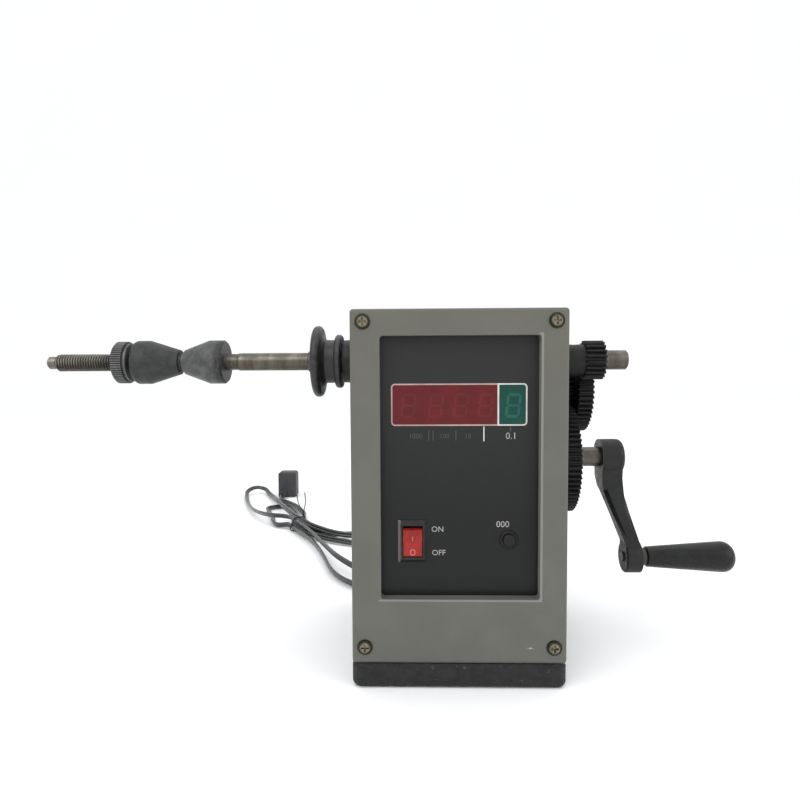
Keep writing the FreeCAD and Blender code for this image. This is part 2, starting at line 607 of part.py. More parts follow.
def make_panel():
    body = slab("control_panel", "window_left - window_lip", "window_right + window_lip",
                "window_low - window_lip", "window_high + window_lip", PANEL_FACE, PANEL_BACK)
    cuts = new_sketch(body, "panel_cuts_sketch", "XZ_Plane", ("0", "0", f"-({PANEL_FACE}) + 1"))
    box_outline(cuts, "display_left", "display_split - display_bar / 2", "display_low", "display_high")
    box_outline(cuts, "display_split + display_bar / 2", "display_right", "display_low", "display_high")
    box_outline(cuts, "switch_x - switch_cut_width / 2", "switch_x + switch_cut_width / 2",
                "switch_z - switch_cut_height / 2", "switch_z + switch_cut_height / 2")
    rings(cuts, [("button_x", "button_z")], "button_barrel_radius")
    feature(body, "Pocket", "panel_cuts", cuts, Length="panel_thickness + 2")


def make_displays():
    slab("counter_window", "display_left", "display_split - display_bar / 2",
         "display_low", "display_high", PANEL_FACE, PANEL_BACK)
    slab("preset_window", "display_split + display_bar / 2", "display_right",
         "display_low", "display_high", PANEL_FACE, PANEL_BACK)
    middle = "(display_low + display_high) / 2"
    low, high = f"{middle} - digit_height / 2", f"{middle} + digit_height / 2"
    back = f"{PANEL_BACK} + digit_depth"
    count_left = "(display_left + display_split) / 2 - 2 * digit_pitch"
    slab("counter_digits", count_left, f"{count_left} + 4 * digit_pitch", low, high, PANEL_BACK, back)
    digit_left = "(display_split + display_right) / 2 - digit_pitch / 2"
    slab("preset_digit", digit_left, f"{digit_left} + digit_pitch", low, high, PANEL_BACK, back)


def make_board():
    front = f"{PANEL_BACK} + digit_depth"
    slab("counter_board", "-board_width / 2", "board_width / 2", "board_low", "board_high",
         front, f"{front} + board_thickness")
    body = new_body("board_spacers")
    posts = new_sketch(body, "board_spacer_places", "XZ_Plane", ("0", "0", f"-({front})"))
    places = [(f"{sx} * (board_width / 2 - 5)", level)
              for sx in (-1, 1) for level in ("board_low + 5", "board_high - 5")]
    rings(posts, places, "spacer_radius")
    feature(body, "Pad", "board_spacer_posts", posts, Length="digit_depth")


def make_switch():
    """Snap-in rocker switch: a bevelled bezel, a box behind the panel and a cradle for the rocker."""
    rim = f"{PANEL_FACE} - switch_rim"
    body = slab("switch_body", "switch_x - switch_width / 2", "switch_x + switch_width / 2",
                "switch_z - switch_height / 2", "switch_z + switch_height / 2", rim, PANEL_FACE)
    front = worth(rim)
    dress(body, "Chamfer", "switch_bevel", "switch_rim - 0.4", lambda edge: at(edge, 1, front))
    box = new_sketch(body, "switch_box_sketch", "XZ_Plane", ("0", "0", f"-({PANEL_FACE})"))
    box_outline(box, "switch_x - switch_cut_width / 2", "switch_x + switch_cut_width / 2",
                "switch_z - switch_cut_height / 2", "switch_z + switch_cut_height / 2")
    feature(body, "Pad", "switch_box", box, backwards=True, Length="20")
    well = new_sketch(body, "switch_well_sketch", "XZ_Plane", ("0", "0", f"-({rim}) + 1"))
    gap = "0.3"
    box_outline(well, f"switch_x - rocker_width / 2 - {gap}", f"switch_x + rocker_width / 2 + {gap}",
                f"switch_z - rocker_height / 2 - {gap}", f"switch_z + rocker_height / 2 + {gap}")
    feature(body, "Pocket", "switch_well", well, Length="10")
    reach = "rocker_width / 2 + rocker_pin_length + 0.2"
    sockets = new_sketch(body, "switch_socket_place", "YZ_Plane", ("0", "0", f"switch_x - ({reach})"))
    rings(sockets, [(ROCKER_AXIS, "switch_z")], "rocker_pin_radius + 0.12")
    feature(body, "Pocket", "switch_sockets", sockets, backwards=True, Length=f"2 * ({reach})")
    tags = new_sketch(body, "switch_tags_sketch", "XZ_Plane", ("0", "0", f"-({PANEL_FACE} + 20)"))
    for level in ("-5", "5"):
        box_outline(tags, "switch_x - 2.4", "switch_x + 2.4",
                    f"switch_z + {level} - 0.4", f"switch_z + {level} + 0.4")
    feature(body, "Pad", "switch_tags", tags, backwards=True, Length="7")


def make_rocker():
    """The rocker's side outline is drawn level and then turned to the side that is pressed in."""
    body = new_body("switch_rocker")
    bind(body, "Placement.Base.y", ROCKER_AXIS)
    bind(body, "Placement.Base.z", "switch_z")
    side = new_sketch(body, "rocker_side", "YZ_Plane", ("0", "0", "switch_x - rocker_width / 2"))
    half = "rocker_height / 2 - 0.7"
    outline(side, [
        ("-4.7", f"-({half})"), ("-3.9", "-3.6"), ("-3.7", "0"), ("-3.9", "3.6"), ("-4.7", half),
        ("-1.4", half), ("1.4", "4.4"), ("2.2", "0"), ("1.4", "-4.4"), ("-1.4", f"-({half})")])
    feature(body, "Pad", "rocker_block", side, Length="rocker_width")
    reach = "rocker_width / 2 + rocker_pin_length"
    pins = new_sketch(body, "rocker_pin_place", "YZ_Plane", ("0", "0", f"switch_x - ({reach})"))
    rings(pins, [("0", "0")], "rocker_pin_radius")
    feature(body, "Pad", "rocker_pins", pins, Length=f"2 * ({reach})")
    bind(body, "Placement.Rotation.Angle", "rocker_tilt")
    body.Placement.Rotation.Axis = Vector(1, 0, 0)


def make_button():
    collar = turned_front("button_body", "button_x", "button_z", [
        (f"{PANEL_FACE} - 1", "button_radius + 0.15"), (f"{PANEL_FACE} - 1", "button_collar_radius - 0.4"),
        (f"{PANEL_FACE} - 0.6", "button_collar_radius"), (PANEL_FACE, "button_collar_radius"),
        (PANEL_FACE, "button_barrel_radius"), (f"{PANEL_BACK} + 12", "button_barrel_radius"),
        (f"{PANEL_BACK} + 12", "1.6"), (f"{PANEL_FACE} + 5", "1.6"),
        (f"{PANEL_FACE} + 5", "button_radius + 0.15")])
    cap = turned_front("reset_button", "button_x", "button_z", [
        (f"{PANEL_FACE} - 3", "0"), (f"{PANEL_FACE} - 3", "button_radius - 0.5"),
        (f"{PANEL_FACE} - 2.5", "button_radius"), (f"{PANEL_FACE} + 2.4", "button_radius"),
        (f"{PANEL_FACE} + 2.4", "1.5"), (f"{PANEL_FACE} + 10", "1.5"), (f"{PANEL_FACE} + 10", "0")])
    return collar, cap


def turned_front(label, across, up, corners):
    """A piece turned about an axis along Y: corners are (place along Y, radius)."""
    body = new_body(label)
    bind(body, "Placement.Base.x", across)
    bind(body, "Placement.Base.z", up)
    drawing = new_sketch(body, f"{label}_profile", "YZ_Plane")
    outline(drawing, corners)
    feature(body, "Revolution", f"{label}_turn", drawing)
    return body


def make_power_supply():
    """Mains transformer on the housing's floor: laminated core, wound bobbin and two foot screws."""
    middle_y, width = "22", "40"
    low = FRAME_FLOOR
    core = new_body("transformer_core")
    face = new_sketch(core, "core_face", "XZ_Plane", ("0", "0", f"-({middle_y} + 9)"))
    box_outline(face, "-28", f"-28 + {width}", low, f"{low} + 34")
    box_outline(face, "-21", "-14", f"{low} + 7", f"{low} + 27")
    box_outline(face, "-2", "5", f"{low} + 7", f"{low} + 27")
    feature(core, "Pad", "core_stack", face, Length="18")
    coil = new_body("transformer_coil")
    ring = new_sketch(coil, "coil_plan", "XY_Plane", ("0", "0", f"{low} + 7.4"))
    box_outline(ring, "-20.8", "4.8", f"{middle_y} - 15", f"{middle_y} + 15")
    box_outline(ring, "-14", "-2", f"{middle_y} - 9", f"{middle_y} + 9")
    feature(coil, "Pad", "coil_block", ring, Length="19.2")


def make_sensor():
    """Slotted light gate that reads the counting disc, on a bracket from the left wall."""
    wall = "-(frame_width / 2 - frame_wall)"
    reach = "disc_x + 8"
    shelf = "spindle_z - disc_radius - 8"
    bracket = new_body("sensor_bracket")
    face = new_sketch(bracket, "bracket_face", "XZ_Plane", ("0", "0", "-spindle_y - 7"))
    outline(face, [
        (wall, f"{shelf} - 12"), (f"{wall} + 2", f"{shelf} - 12"), (f"{wall} + 2", f"{shelf} - 2"),
        (reach, f"{shelf} - 2"), (reach, shelf), (wall, shelf)])
    feature(bracket, "Pad", "bracket_strip", face, Length="14")
    gate = new_body("count_sensor")
    face = new_sketch(gate, "gate_face", "XZ_Plane", ("0", "0", "-spindle_y - 4"))
    outline(face, [
        ("disc_x - 6", shelf), ("disc_x + 6", shelf), ("disc_x + 6", f"{shelf} + 13"),
        ("disc_x + 1.8", f"{shelf} + 13"), ("disc_x + 1.8", f"{shelf} + 5"), ("disc_x - 1.8", f"{shelf} + 5"),
        ("disc_x - 1.8", f"{shelf} + 13"), ("disc_x - 6", f"{shelf} + 13")])
    feature(gate, "Pad", "gate_block", face, Length="8")


# Gears.

def involute(angle):
    return math.tan(angle) - angle


def gear_face(teeth, tooth_angle):
    """A toothed face in the YZ plane; one tooth points along tooth_angle, radians from +Y to +Z."""
    module = worth("tooth_module")
    pressure = math.radians(worth("pressure_angle"))
    pitch = teeth * module / 2
    base = pitch * math.cos(pressure)
    tip, root = pitch + module, pitch - 1.25 * module
    half_pitch = (math.pi * module / 2 - worth("tooth_slack")) / (2 * pitch)
    start = max(base, root)

    def half_angle(radius):
        return half_pitch + involute(pressure) - involute(math.acos(min(1.0, base / radius)))

    def spot(radius, angle):
        return Vector(0, radius * math.cos(angle), radius * math.sin(angle))

    edges = []
    step = 2 * math.pi / teeth
    middle = (start + tip) / 2
    for number in range(teeth):
        heart = tooth_angle + number * step
        last = heart - step + half_angle(start)
        here = heart - half_angle(start)
        if root < start:
            edges.append(Part.makeLine(spot(start, last), spot(root, last)))
            edges.append(Part.makeLine(spot(root, here), spot(start, here)))
        edges.append(Part.Arc(spot(root, last), spot(root, (last + here) / 2), spot(root, here)).toShape())
        edges.append(Part.Arc(spot(start, here), spot(middle, heart - half_angle(middle)),
                              spot(tip, heart - half_angle(tip))).toShape())
        edges.append(Part.makeLine(spot(tip, heart - half_angle(tip)), spot(tip, heart + half_angle(tip))))
        edges.append(Part.Arc(spot(tip, heart + half_angle(tip)), spot(middle, heart + half_angle(middle)),
                              spot(start, heart + half_angle(start))).toShape())
    return Part.Face(Part.Wire(Part.__sortEdges__(edges)))


def gear_block(teeth, tooth_angle, left, right):
    toothed = gear_face(teeth, tooth_angle).extrude(Vector(right - left, 0, 0))
    toothed.translate(Vector(left, 0, 0))
    return toothed


def drum(left, right, radius):
    return Part.makeCylinder(radius, right - left, Vector(left, 0, 0), Vector(1, 0, 0))


def axis_place(axis):
    return FreeCAD.Placement(Vector(0, worth(axis[0]), worth(axis[1])), FreeCAD.Rotation())


def mesh_angles():
    """Direction from each axis to the next, so that a tooth of one stands in a gap of the other."""
    spots = [(worth(axis[0]), worth(axis[1])) for axis in (SPINDLE, IDLER, CRANK)]
    down = math.atan2(spots[1][1] - spots[0][1], spots[1][0] - spots[0][0])
    lower = math.atan2(spots[2][1] - spots[1][1], spots[2][0] - spots[1][0])
    return down, lower


def make_gears():
    down, lower = mesh_angles()
    shaft = worth("shaft_radius")
    grub = worth("grub_radius")
    spindle_teeth, large = int(worth("teeth_spindle")), int(worth("teeth_idler_large"))
    small, crank_teeth = int(worth("teeth_idler_small")), int(worth("teeth_crank"))

    left, right = worth("pinion_left"), worth("pinion_right")
    hub_left = worth("pinion_hub_left")
    pinion = gear_block(spindle_teeth, down, left, right)
    pinion = pinion.fuse(drum(hub_left, left, worth("pinion_hub_radius")))
    pinion = pinion.cut(drum(hub_left - 1, right + 1, shaft))
    hole = Part.makeCylinder(grub, 20, Vector((hub_left + left) / 2, 0, 0), Vector(0, 0, 1))
    solid_piece("spindle_pinion", pinion.cut(hole).removeSplitter(), axis_place(SPINDLE))

    start, step, end = worth("idler_left"), worth("idler_step"), worth("idler_right")
    idler = gear_block(large, down + math.pi + math.pi / large, step, end)
    idler = idler.fuse(gear_block(small, lower, start, step))
    idler = idler.cut(drum(start - 1, end + 1, worth("idler_bush_radius")))
    solid_piece("idler_gear", idler.removeSplitter(), axis_place(IDLER))

    left, right = worth("crank_gear_left"), worth("crank_gear_right")
    hub = worth("crank_boss_end") + 0.4
    wheel = gear_block(crank_teeth, lower + math.pi + math.pi / crank_teeth, left, right)
    wheel = wheel.fuse(drum(hub, left, worth("boss_radius") - 1))
    wheel = wheel.cut(drum(hub - 1, right + 1, shaft))
    solid_piece("crank_gear", wheel.removeSplitter(), axis_place(CRANK))


# Spindle and the pieces that turn with it.

def make_spindle():
    turned("spindle", SPINDLE, [
        ("spindle_tip", "0"), ("spindle_tip", "spindle_tip_radius - 1"),
        ("spindle_tip + 1", "spindle_tip_radius"), ("thread_start - 0.6", "spindle_tip_radius"),
        ("thread_start + 0.6", "thread_radius"), ("relief_start - 0.4", "thread_radius"),
        ("relief_start", "relief_radius"), ("relief_end - 0.4", "relief_radius"),
        ("relief_end", "nose_radius"), ("spindle_step", "nose_radius"),
        ("spindle_step", "shaft_radius - 0.4"),
        ("spindle_step + 0.4", "shaft_radius"), ("tail_start", "shaft_radius"), ("tail_start", "tail_radius"),
        ("spindle_end - 0.7", "tail_radius"), ("spindle_end", "tail_radius - 0.7"), ("spindle_end", "0")])


def make_cones():
    turned("inner_cone", SPINDLE, [
        ("inner_cone_face - spigot_length", "thread_radius"),
        ("inner_cone_face - spigot_length", "spigot_radius"),
        ("inner_cone_face", "spigot_radius"), ("inner_cone_face", "cone_small_radius"),
        ("inner_cone_rim", "cone_radius"), ("inner_cone_back - 1", "cone_radius"),
        ("inner_cone_back", "cone_radius - 1"), ("inner_cone_back", "thread_radius")])
    turned("outer_cone", SPINDLE, [
        ("outer_cone_face + spigot_length", "cone_bore"),
        ("outer_cone_face + spigot_length", "spigot_radius"),
        ("outer_cone_face", "spigot_radius"), ("outer_cone_face", "cone_small_radius"),
        ("outer_cone_rim", "cone_radius"), ("outer_cone_back + 1.4", "cone_radius"),
        ("outer_cone_back", "cone_radius - 0.7"), ("outer_cone_back", "cone_bore")])


def make_nut():
    turned("clamp_nut", SPINDLE, [
        ("nut_left", "cone_bore"), ("nut_left", "nut_radius - 1"), ("nut_left + 1", "nut_radius"),
        ("nut_right - nut_step", "nut_radius"), ("nut_right - nut_step", "nut_step_radius"),
        ("nut_right", "nut_step_radius"), ("nut_right", "cone_bore")])


def make_hand_wheel():
    rim_end = "wheel_left + wheel_rim"
    small_start = "wheel_right - wheel_small_rim"
    body = turned("hand_wheel", SPINDLE, [
        ("wheel_left", "shaft_radius"), ("wheel_left", "wheel_radius"), (rim_end, "wheel_radius"),
        (f"{rim_end} + 0.4", "wheel_small_radius"), (f"{rim_end} + 2", "wheel_groove_radius"),
        (f"{small_start} - 0.4", "wheel_groove_radius"), (small_start, "wheel_small_radius - 0.8"),
        (f"{small_start} + 0.8", "wheel_small_radius"), ("wheel_right - 0.8", "wheel_small_radius"),
        ("wheel_right", "wheel_small_radius - 0.8"), ("wheel_right", "shaft_radius")])
    left, right, radius = worth("wheel_left"), worth(rim_end), worth("wheel_radius")
    dress(body, "Fillet", "wheel_round_rim", "wheel_rim / 2 - 0.1",
          lambda edge: ring_at(edge, left, radius) or ring_at(edge, right, radius))
    grub_hole(body, "hand_wheel", f"({rim_end} + {small_start}) / 2 + 1", "wheel_groove_radius + 2")


def make_collars():
    """Two collars just inside the bushes, so that the spindle can't move endways."""
    body = new_body("spindle_collars")
    bind(body, "Placement.Base.y", SPINDLE[0])
    bind(body, "Placement.Base.z", SPINDLE[1])
    for side, sign in (("right", "1"), ("left", "-1")):
        drawing = new_sketch(body, f"collar_{side}", "XZ_Plane")
        outer = "(boss_inner_end - bush_flange - 0.3)"
        outline(drawing, [
            (f"{sign} * {outer}", "shaft_radius"), (f"{sign} * {outer}", "collar_radius"),
            (f"{sign} * ({outer} - collar_length)", "collar_radius"),
            (f"{sign} * ({outer} - collar_length)", "shaft_radius")])
        feature(body, "Revolution", f"collar_{side}_turn", drawing)


def make_disc():
    """Counting disc with open slots, on a small hub."""
    body = turned("count_disc", SPINDLE, [
        ("disc_x - disc_thickness / 2", "shaft_radius"), ("disc_x - disc_thickness / 2", "disc_radius"),
        ("disc_x + disc_thickness / 2", "disc_radius"), ("disc_x + disc_thickness / 2", "collar_radius"),
        ("disc_x + 7", "collar_radius"), ("disc_x + 7", "shaft_radius")])
    slot = new_sketch(body, "disc_slot_sketch", "YZ_Plane", ("0", "0", "disc_x - 2"))
    box_outline(slot, "-2", "2", "disc_radius - 6", "disc_radius + 1")
    cut = feature(body, "Pocket", "disc_slot", slot, backwards=True, Length="4")
    pattern = body.newObject("PartDesign::PolarPattern", "disc_slots_round")
    pattern.Originals = [cut]
    pattern.Axis = (next(item for item in body.Origin.OriginFeatures if item.Role == "X_Axis"), [""])
    pattern.Angle = 360
    bind(pattern, "Occurrences", "disc_slots")
    body.Tip = pattern
    doc.recompute()


def make_grub_screws(label, axis, places, reach):
    """Grub screws standing in radial holes; each place is (along X, inner end, outer end) expressions."""
    body = new_body(label)
    bind(body, "Placement.Base.y", axis[0])
    bind(body, "Placement.Base.z", axis[1])
    for number, (place, start, end) in enumerate(places, start=1):
        drawing = new_sketch(body, f"{label}_{number}", "XY_Plane", ("0", "0", start))
        rings(drawing, [(place, "0")], reach)
        feature(body, "Pad", f"{label}_{number}_pin", drawing, Length=f"({end}) - ({start})")


# Idler.

def make_idler_fittings():
    turned("idler_stud", IDLER, [
        ("frame_width / 2 - frame_wall - 4", "0"), ("frame_width / 2 - frame_wall - 4", "stud_radius"),
        ("idler_right + 3.4", "stud_radius"), ("idler_right + 4", "stud_radius - 0.6"),
        ("idler_right + 4", "0")])
    turned("idler_bush", IDLER, [
        ("idler_left", "idler_bush_bore"), ("idler_left", "idler_bush_radius"),
        ("idler_right + 0.4", "idler_bush_radius"), ("idler_right + 0.4", "idler_bush_bore")])
    turned("idler_ring", IDLER, [
        ("idler_right + 0.9", "stud_radius"), ("idler_right + 0.9", "stud_radius + 2.6"),
        ("idler_right + 1.9", "stud_radius + 2.6"), ("idler_right + 1.9", "stud_radius")])


# Crank.

def make_crank_shaft():
    turned("crank_shaft", CRANK, [
        ("-(frame_width / 2 - 3)", "0"), ("-(frame_width / 2 - 3)", "shaft_radius - 0.6"),
        ("-(frame_width / 2 - 3.6)", "shaft_radius"), ("crank_hub_right - 3", "shaft_radius"),
        ("crank_hub_right - 3", "0")])


def make_crank_arm():
    """Cast arm: the overlap of its side and front outlines, joined to a round hub and a round boss."""
    side = doc.addObject("Sketcher::SketchObject", "arm_side_sketch")
    side.Placement = FreeCAD.Placement(Vector(0, 20, 0), FreeCAD.Rotation(Vector(1, 0, 0), 90))
    throw = "-crank_throw"
    outline(side, [
        ("crank_hub_left", "0"), ("crank_hub_left", "-12.5"), ("crank_hub_left + 1.6", "-20"),
        ("crank_boss_left", f"{throw} + 9"), ("crank_boss_left", throw), ("crank_boss_right", throw),
        ("crank_boss_right", f"{throw} + 6.5"), ("crank_hub_left + 13.4", "-20"),
        ("crank_hub_left + 12.4", "-12.5"), ("crank_hub_left + 12.4", "0")])
    front = doc.addObject("Sketcher::SketchObject", "arm_front_sketch")
    front.Placement = FreeCAD.Placement(Vector(80, 0, 0), FreeCAD.Rotation(Vector(1, 1, 1), 120))
    outline(front, [
        ("-arm_width_top / 2 - 1.4", "0"), ("-arm_width_top / 2", "-14"),
        ("-arm_width_low / 2", f"{throw} + 12"), ("-arm_width_low / 2 - 1", throw),
        ("arm_width_low / 2 + 1", throw), ("arm_width_low / 2", f"{throw} + 12"),
        ("arm_width_top / 2", "-14"), ("arm_width_top / 2 + 1.4", "0")])
    blocks = []
    for drawing, name, length in ((side, "arm_side", 40), (front, "arm_front", 50)):
        block = doc.addObject("Part::Extrusion", name)
        block.Base = drawing
        block.DirMode = "Normal"
        block.LengthFwd = length
        block.Solid = True
        blocks.append(block)
    shank = doc.addObject("Part::MultiCommon", "arm_shank")
    shank.Shapes = blocks
    doc.recompute()
    rounded = doc.addObject("Part::Chamfer", "arm_shank_edges")
    rounded.Base = shank
    long_edges = [number for number, edge in enumerate(shank.Shape.Edges, start=1)
                  if abs(edge.Vertexes[0].Point.y) > 4 and edge.Length > 20
                  and (edge.Vertexes[0].Point.y > 0) == (edge.Vertexes[-1].Point.y > 0)]
    rounded.Edges = [(number, 2.2, 2.2) for number in long_edges]
    hub = drum_feature("arm_hub", "crank_hub_left", "crank_hub_right", "crank_hub_radius", "0")
    low_boss = drum_feature("arm_boss", "crank_boss_left", "crank_boss_right", "crank_boss_radius", throw)
    doc.recompute()
    hub_round = round_end("arm_hub_round", hub, worth("crank_hub_right"), 3.2)
    boss_round = round_end("arm_boss_round", low_boss, worth("crank_boss_left"), 1.2)
    joined = doc.addObject("Part::MultiFuse", "arm_joined")
    joined.Shapes = [rounded, hub_round, boss_round]
    socket = drum_feature("arm_socket", "crank_hub_left - 1", "crank_hub_right - 3", "shaft_radius", "0")
    eye = drum_feature("arm_eye", "crank_boss_left - 1", "crank_boss_right + 1", "grip_pin_radius", throw)
    screw = doc.addObject("Part::Cylinder", "arm_screw_hole")
    bind(screw, "Radius", "grub_radius")
    bind(screw, "Height", "crank_hub_radius + 4")
    bind(screw, "Placement.Base.x", "crank_hub_left + 6.5")
    drilled = doc.addObject("Part::MultiFuse", "arm_holes")
    drilled.Shapes = [socket, eye, screw]
    arm = doc.addObject("Part::Cut", "crank_arm")
    arm.Label = "crank_arm"
    arm.Base = joined
    arm.Tool = drilled
    bind(arm, "Placement.Base.y", CRANK[0])
    bind(arm, "Placement.Base.z", CRANK[1])
    doc.recompute()


def drum_feature(name, left, right, radius, height):
    piece = doc.addObject("Part::Cylinder", name)
    bind(piece, "Radius", radius)
    bind(piece, "Height", f"({right}) - ({left})")
    piece.Placement = FreeCAD.Placement(Vector(), FreeCAD.Rotation(Vector(0, 1, 0), 90))
    bind(piece, "Placement.Base.x", left)
    bind(piece, "Placement.Base.z", height)
    return piece


def round_end(name, base, place, radius):
    """The round piece with the edge at one end rounded over."""
    made = doc.addObject("Part::Fillet", name)
    made.Base = base
    numbers = [number for number, edge in enumerate(base.Shape.Edges, start=1) if at(edge, 0, place)]
    made.Edges = [(number, radius, radius) for number in numbers]
    doc.recompute()
    return made


def make_grip():
    turned("grip_pin", GRIP, [
        ("crank_boss_left - 0.8", "0"), ("crank_boss_left - 0.8", "grip_pin_radius"),
        ("crank_boss_left", "grip_pin_radius"), ("crank_boss_right", "grip_pin_radius"),
        ("crank_boss_right", "grip_pin_shoulder"), ("grip_left - 0.4", "grip_pin_shoulder"),
        ("grip_left - 0.4", "grip_pin_radius"), ("grip_left + 40", "grip_pin_radius"),
        ("grip_left + 40", "0")])
    body = turned("grip", GRIP, [
        ("grip_left", "grip_pin_radius + 0.08"), ("grip_left", "grip_radius_left - 0.5"),
        ("grip_left + 0.5", "grip_radius_left"), ("grip_thickest", "grip_radius_right"),
        ("grip_right", "grip_radius_right - 0.4"), ("grip_right", "0"),
        ("grip_left + 40.4", "0"), ("grip_left + 40.4", "grip_pin_radius + 0.08")])
    end, radius = worth("grip_right"), worth("grip_radius_right - 0.4")
    dress(body, "Fillet", "grip_dome", "7", lambda edge: ring_at(edge, end, radius))


# Mains lead: a strain relief, a stretch over the bench, a tied hank and a stretch to the plug.

def make_gland():
    back = "frame_depth / 2 + cover_depth"
    turned_front("cord_gland", "gland_x", "gland_z", [
        (f"{back} - 8", "0"), (f"{back} - 8", "6"), (back, "6"), (back, "8"), (f"{back} + 2.4", "8"),
        (f"{back} + 3.2", "6.6"), (f"{back} + gland_length", "cord_radius + 0.8"),
        (f"{back} + gland_length", "0")])


def heading(degrees):
    return Vector(math.cos(math.radians(degrees)), math.sin(math.radians(degrees)), 0)


def corner_arc(start, corner, end):
    """The arc tangent to both legs of a corner whose legs are equal, or a straight edge if they line up."""
    chord_middle = (start + end) * 0.5
    lift = (corner - chord_middle).Length
    leg = (corner - start).Length
    half_chord = (start - chord_middle).Length
    if lift < 1e-4 * leg:
        return Part.makeLine(start, end), math.inf
    radius = leg * half_chord / lift
    sagitta = radius * (1 - half_chord / leg)
    peak = chord_middle + (corner - chord_middle) * (sagitta / lift)
    return Part.Arc(start, peak, end).toShape(), radius


def bend_corners(start, start_heading, end, end_heading):
    """The two corners of a pair of tangent arcs that leave start and reach end along the headings."""
    span = end - start
    along = span.dot(start_heading + end_heading)
    turn = 1.0 - start_heading.dot(end_heading)
    if turn < 1e-9:
        leg = span.Length / 4 if along == 0 else span.dot(span) / (2 * along)
    else:
        leg = (math.sqrt(along * along + 2 * turn * span.dot(span)) - along) / (2 * turn)
    return start + start_heading * leg, end - end_heading * leg


def waist_slots():
    """Where the five strands cross the tie: name to place, two layers."""
    middle = Vector(worth("tie_x"), worth("tie_y"), 0)
    angle = worth("waist_angle")
    across = heading(angle - 90)
    pitch = worth("waist_pitch")
    low, high = worth("waist_low"), worth("waist_low + waist_rise")
    places = {"outer_low": (-1.0, low), "inner_low": (-0.5, high), "inner_high": (0.0, low),
              "lead": (0.5, high), "outer_high": (1.0, low)}
    return {name: middle + across * (pitch * shift) + Vector(0, 0, level)
            for name, (shift, level) in places.items()}


def lobe(centre, lean, half_length, half_width, level):
    """Stations round the far side of one lobe of the hank, anticlockwise from its right side."""
    along, across = heading(lean), heading(lean + 90)
    middle = Vector(centre[0], centre[1], level)
    return [(middle - across * half_width, along), (middle + along * half_length, across),
            (middle + across * half_width, along * -1)]


def hank_stations():
    """Every station of the hank as (place, heading), from the machine's lead to the plug's lead."""
    out = heading(worth("waist_angle"))
    back = out * -1
    run = worth("waist_straight")
    slots = waist_slots()
    floor = worth("cord_floor")
    top = worth("waist_low + waist_rise")

    def through(name, way):
        return [(slots[name] - way * run, way), (slots[name] + way * run, way)]

    big = lobe((-216, 394), 117, 36, 13.5, floor)
    big = [(place + Vector(0, 0, lift), way) for (place, way), lift in zip(big, (1.6, 0.4, 0.2))]
    small = lobe((-167, 304), 112, 40, 13.5, floor)
    stations = [(Vector(-76, 202, top - 3.0), heading(179))]
    stations += through("lead", out)
    stations += [(Vector(-182, 342, top - 0.3), heading(114))] + big
    stations += [(Vector(-186, 283, top - 0.6), heading(302))]
    stations += through("inner_low", back)
    stations += [(Vector(-94, 148, top - 2.0), heading(-66))]
    stations += lobe((-22, 136), 0, 50, 44, floor)
    stations += through("inner_high", out) + small
    stations += [(Vector(-167, 261, floor), heading(-62))]
    stations += through("outer_low", back)
    stations += lobe((-18, 150), 0, 80, 79, floor)
    stations += through("outer_high", out)
    stations += [(Vector(-142.5, 288, floor + 0.3), heading(91))]
    return stations


def hank_route():
    """The hank's centre line as edges, with its tightest radius."""
    stations = hank_stations()
    edges, radii = [], []
    for (start, start_way), (end, end_way) in zip(stations, stations[1:]):
        first, second = bend_corners(start, start_way, end, end_way)
        joint = (first + second) * 0.5
        for one, corner, two in ((start, first, joint), (joint, second, end)):
            edge, radius = corner_arc(one, corner, two)
            edges.append(edge)
            radii.append(radius)
    return Part.Wire(edges), min(radii)


def rounded_route(points):
    """Straight runs joined by arcs as large as the shorter run beside each point allows."""
    edges, radii = [], []
    last = points[0]
    for before, here, after in zip(points, points[1:], points[2:]):
        leg = 0.45 * min((here - before).Length, (after - here).Length)
        start = here + (before - here).normalize() * leg
        end = here + (after - here).normalize() * leg
        edges.append(Part.makeLine(last, start))
        arc, radius = corner_arc(start, here, end)
        edges.append(arc)
        radii.append(round(radius, 1))
        last = end
    edges.append(Part.makeLine(last, points[-1]))
    return Part.Wire(edges), radii


def tube(route, radius):
    first = route.Edges[0]
    way = first.tangentAt(first.FirstParameter)
    section = Part.Wire(Part.Circle(first.valueAt(first.FirstParameter), way, radius).toShape())
    return route.makePipeShell([section], True, False)


def least_gap(route, others, radius):
    """The least clear distance of a route to itself, past its own bends, and to other routes."""
    spots = route.discretize(Distance=1.5)
    skip = 16
    own = min((one - two).Length for number, one in enumerate(spots) for two in spots[number + skip:])
    inner = spots[skip:-skip]
    outside = [spot for other in others for spot in other.discretize(Distance=1.5)]
    away = min((one - two).Length for one in inner for two in outside)
    return own - 2 * radius, away - 2 * radius


LEAD_POINTS = [
    (35, 88, 34), (35, 108, 32), (38, 130, 21), (44, 152, 8.5), (43, 174, 3.1), (30, 193, 3.0), (8, 204, 3.0),
    (-18, 207, 3.0), (-45, 204.5, 4.4),
]
PLUG_POINTS = [
    (-144, 316, 3.0), (-155, 341, 3.0), (-172, 359, 3.1), (-188, 373, 4.6), (-189, 392, 5.5),
]


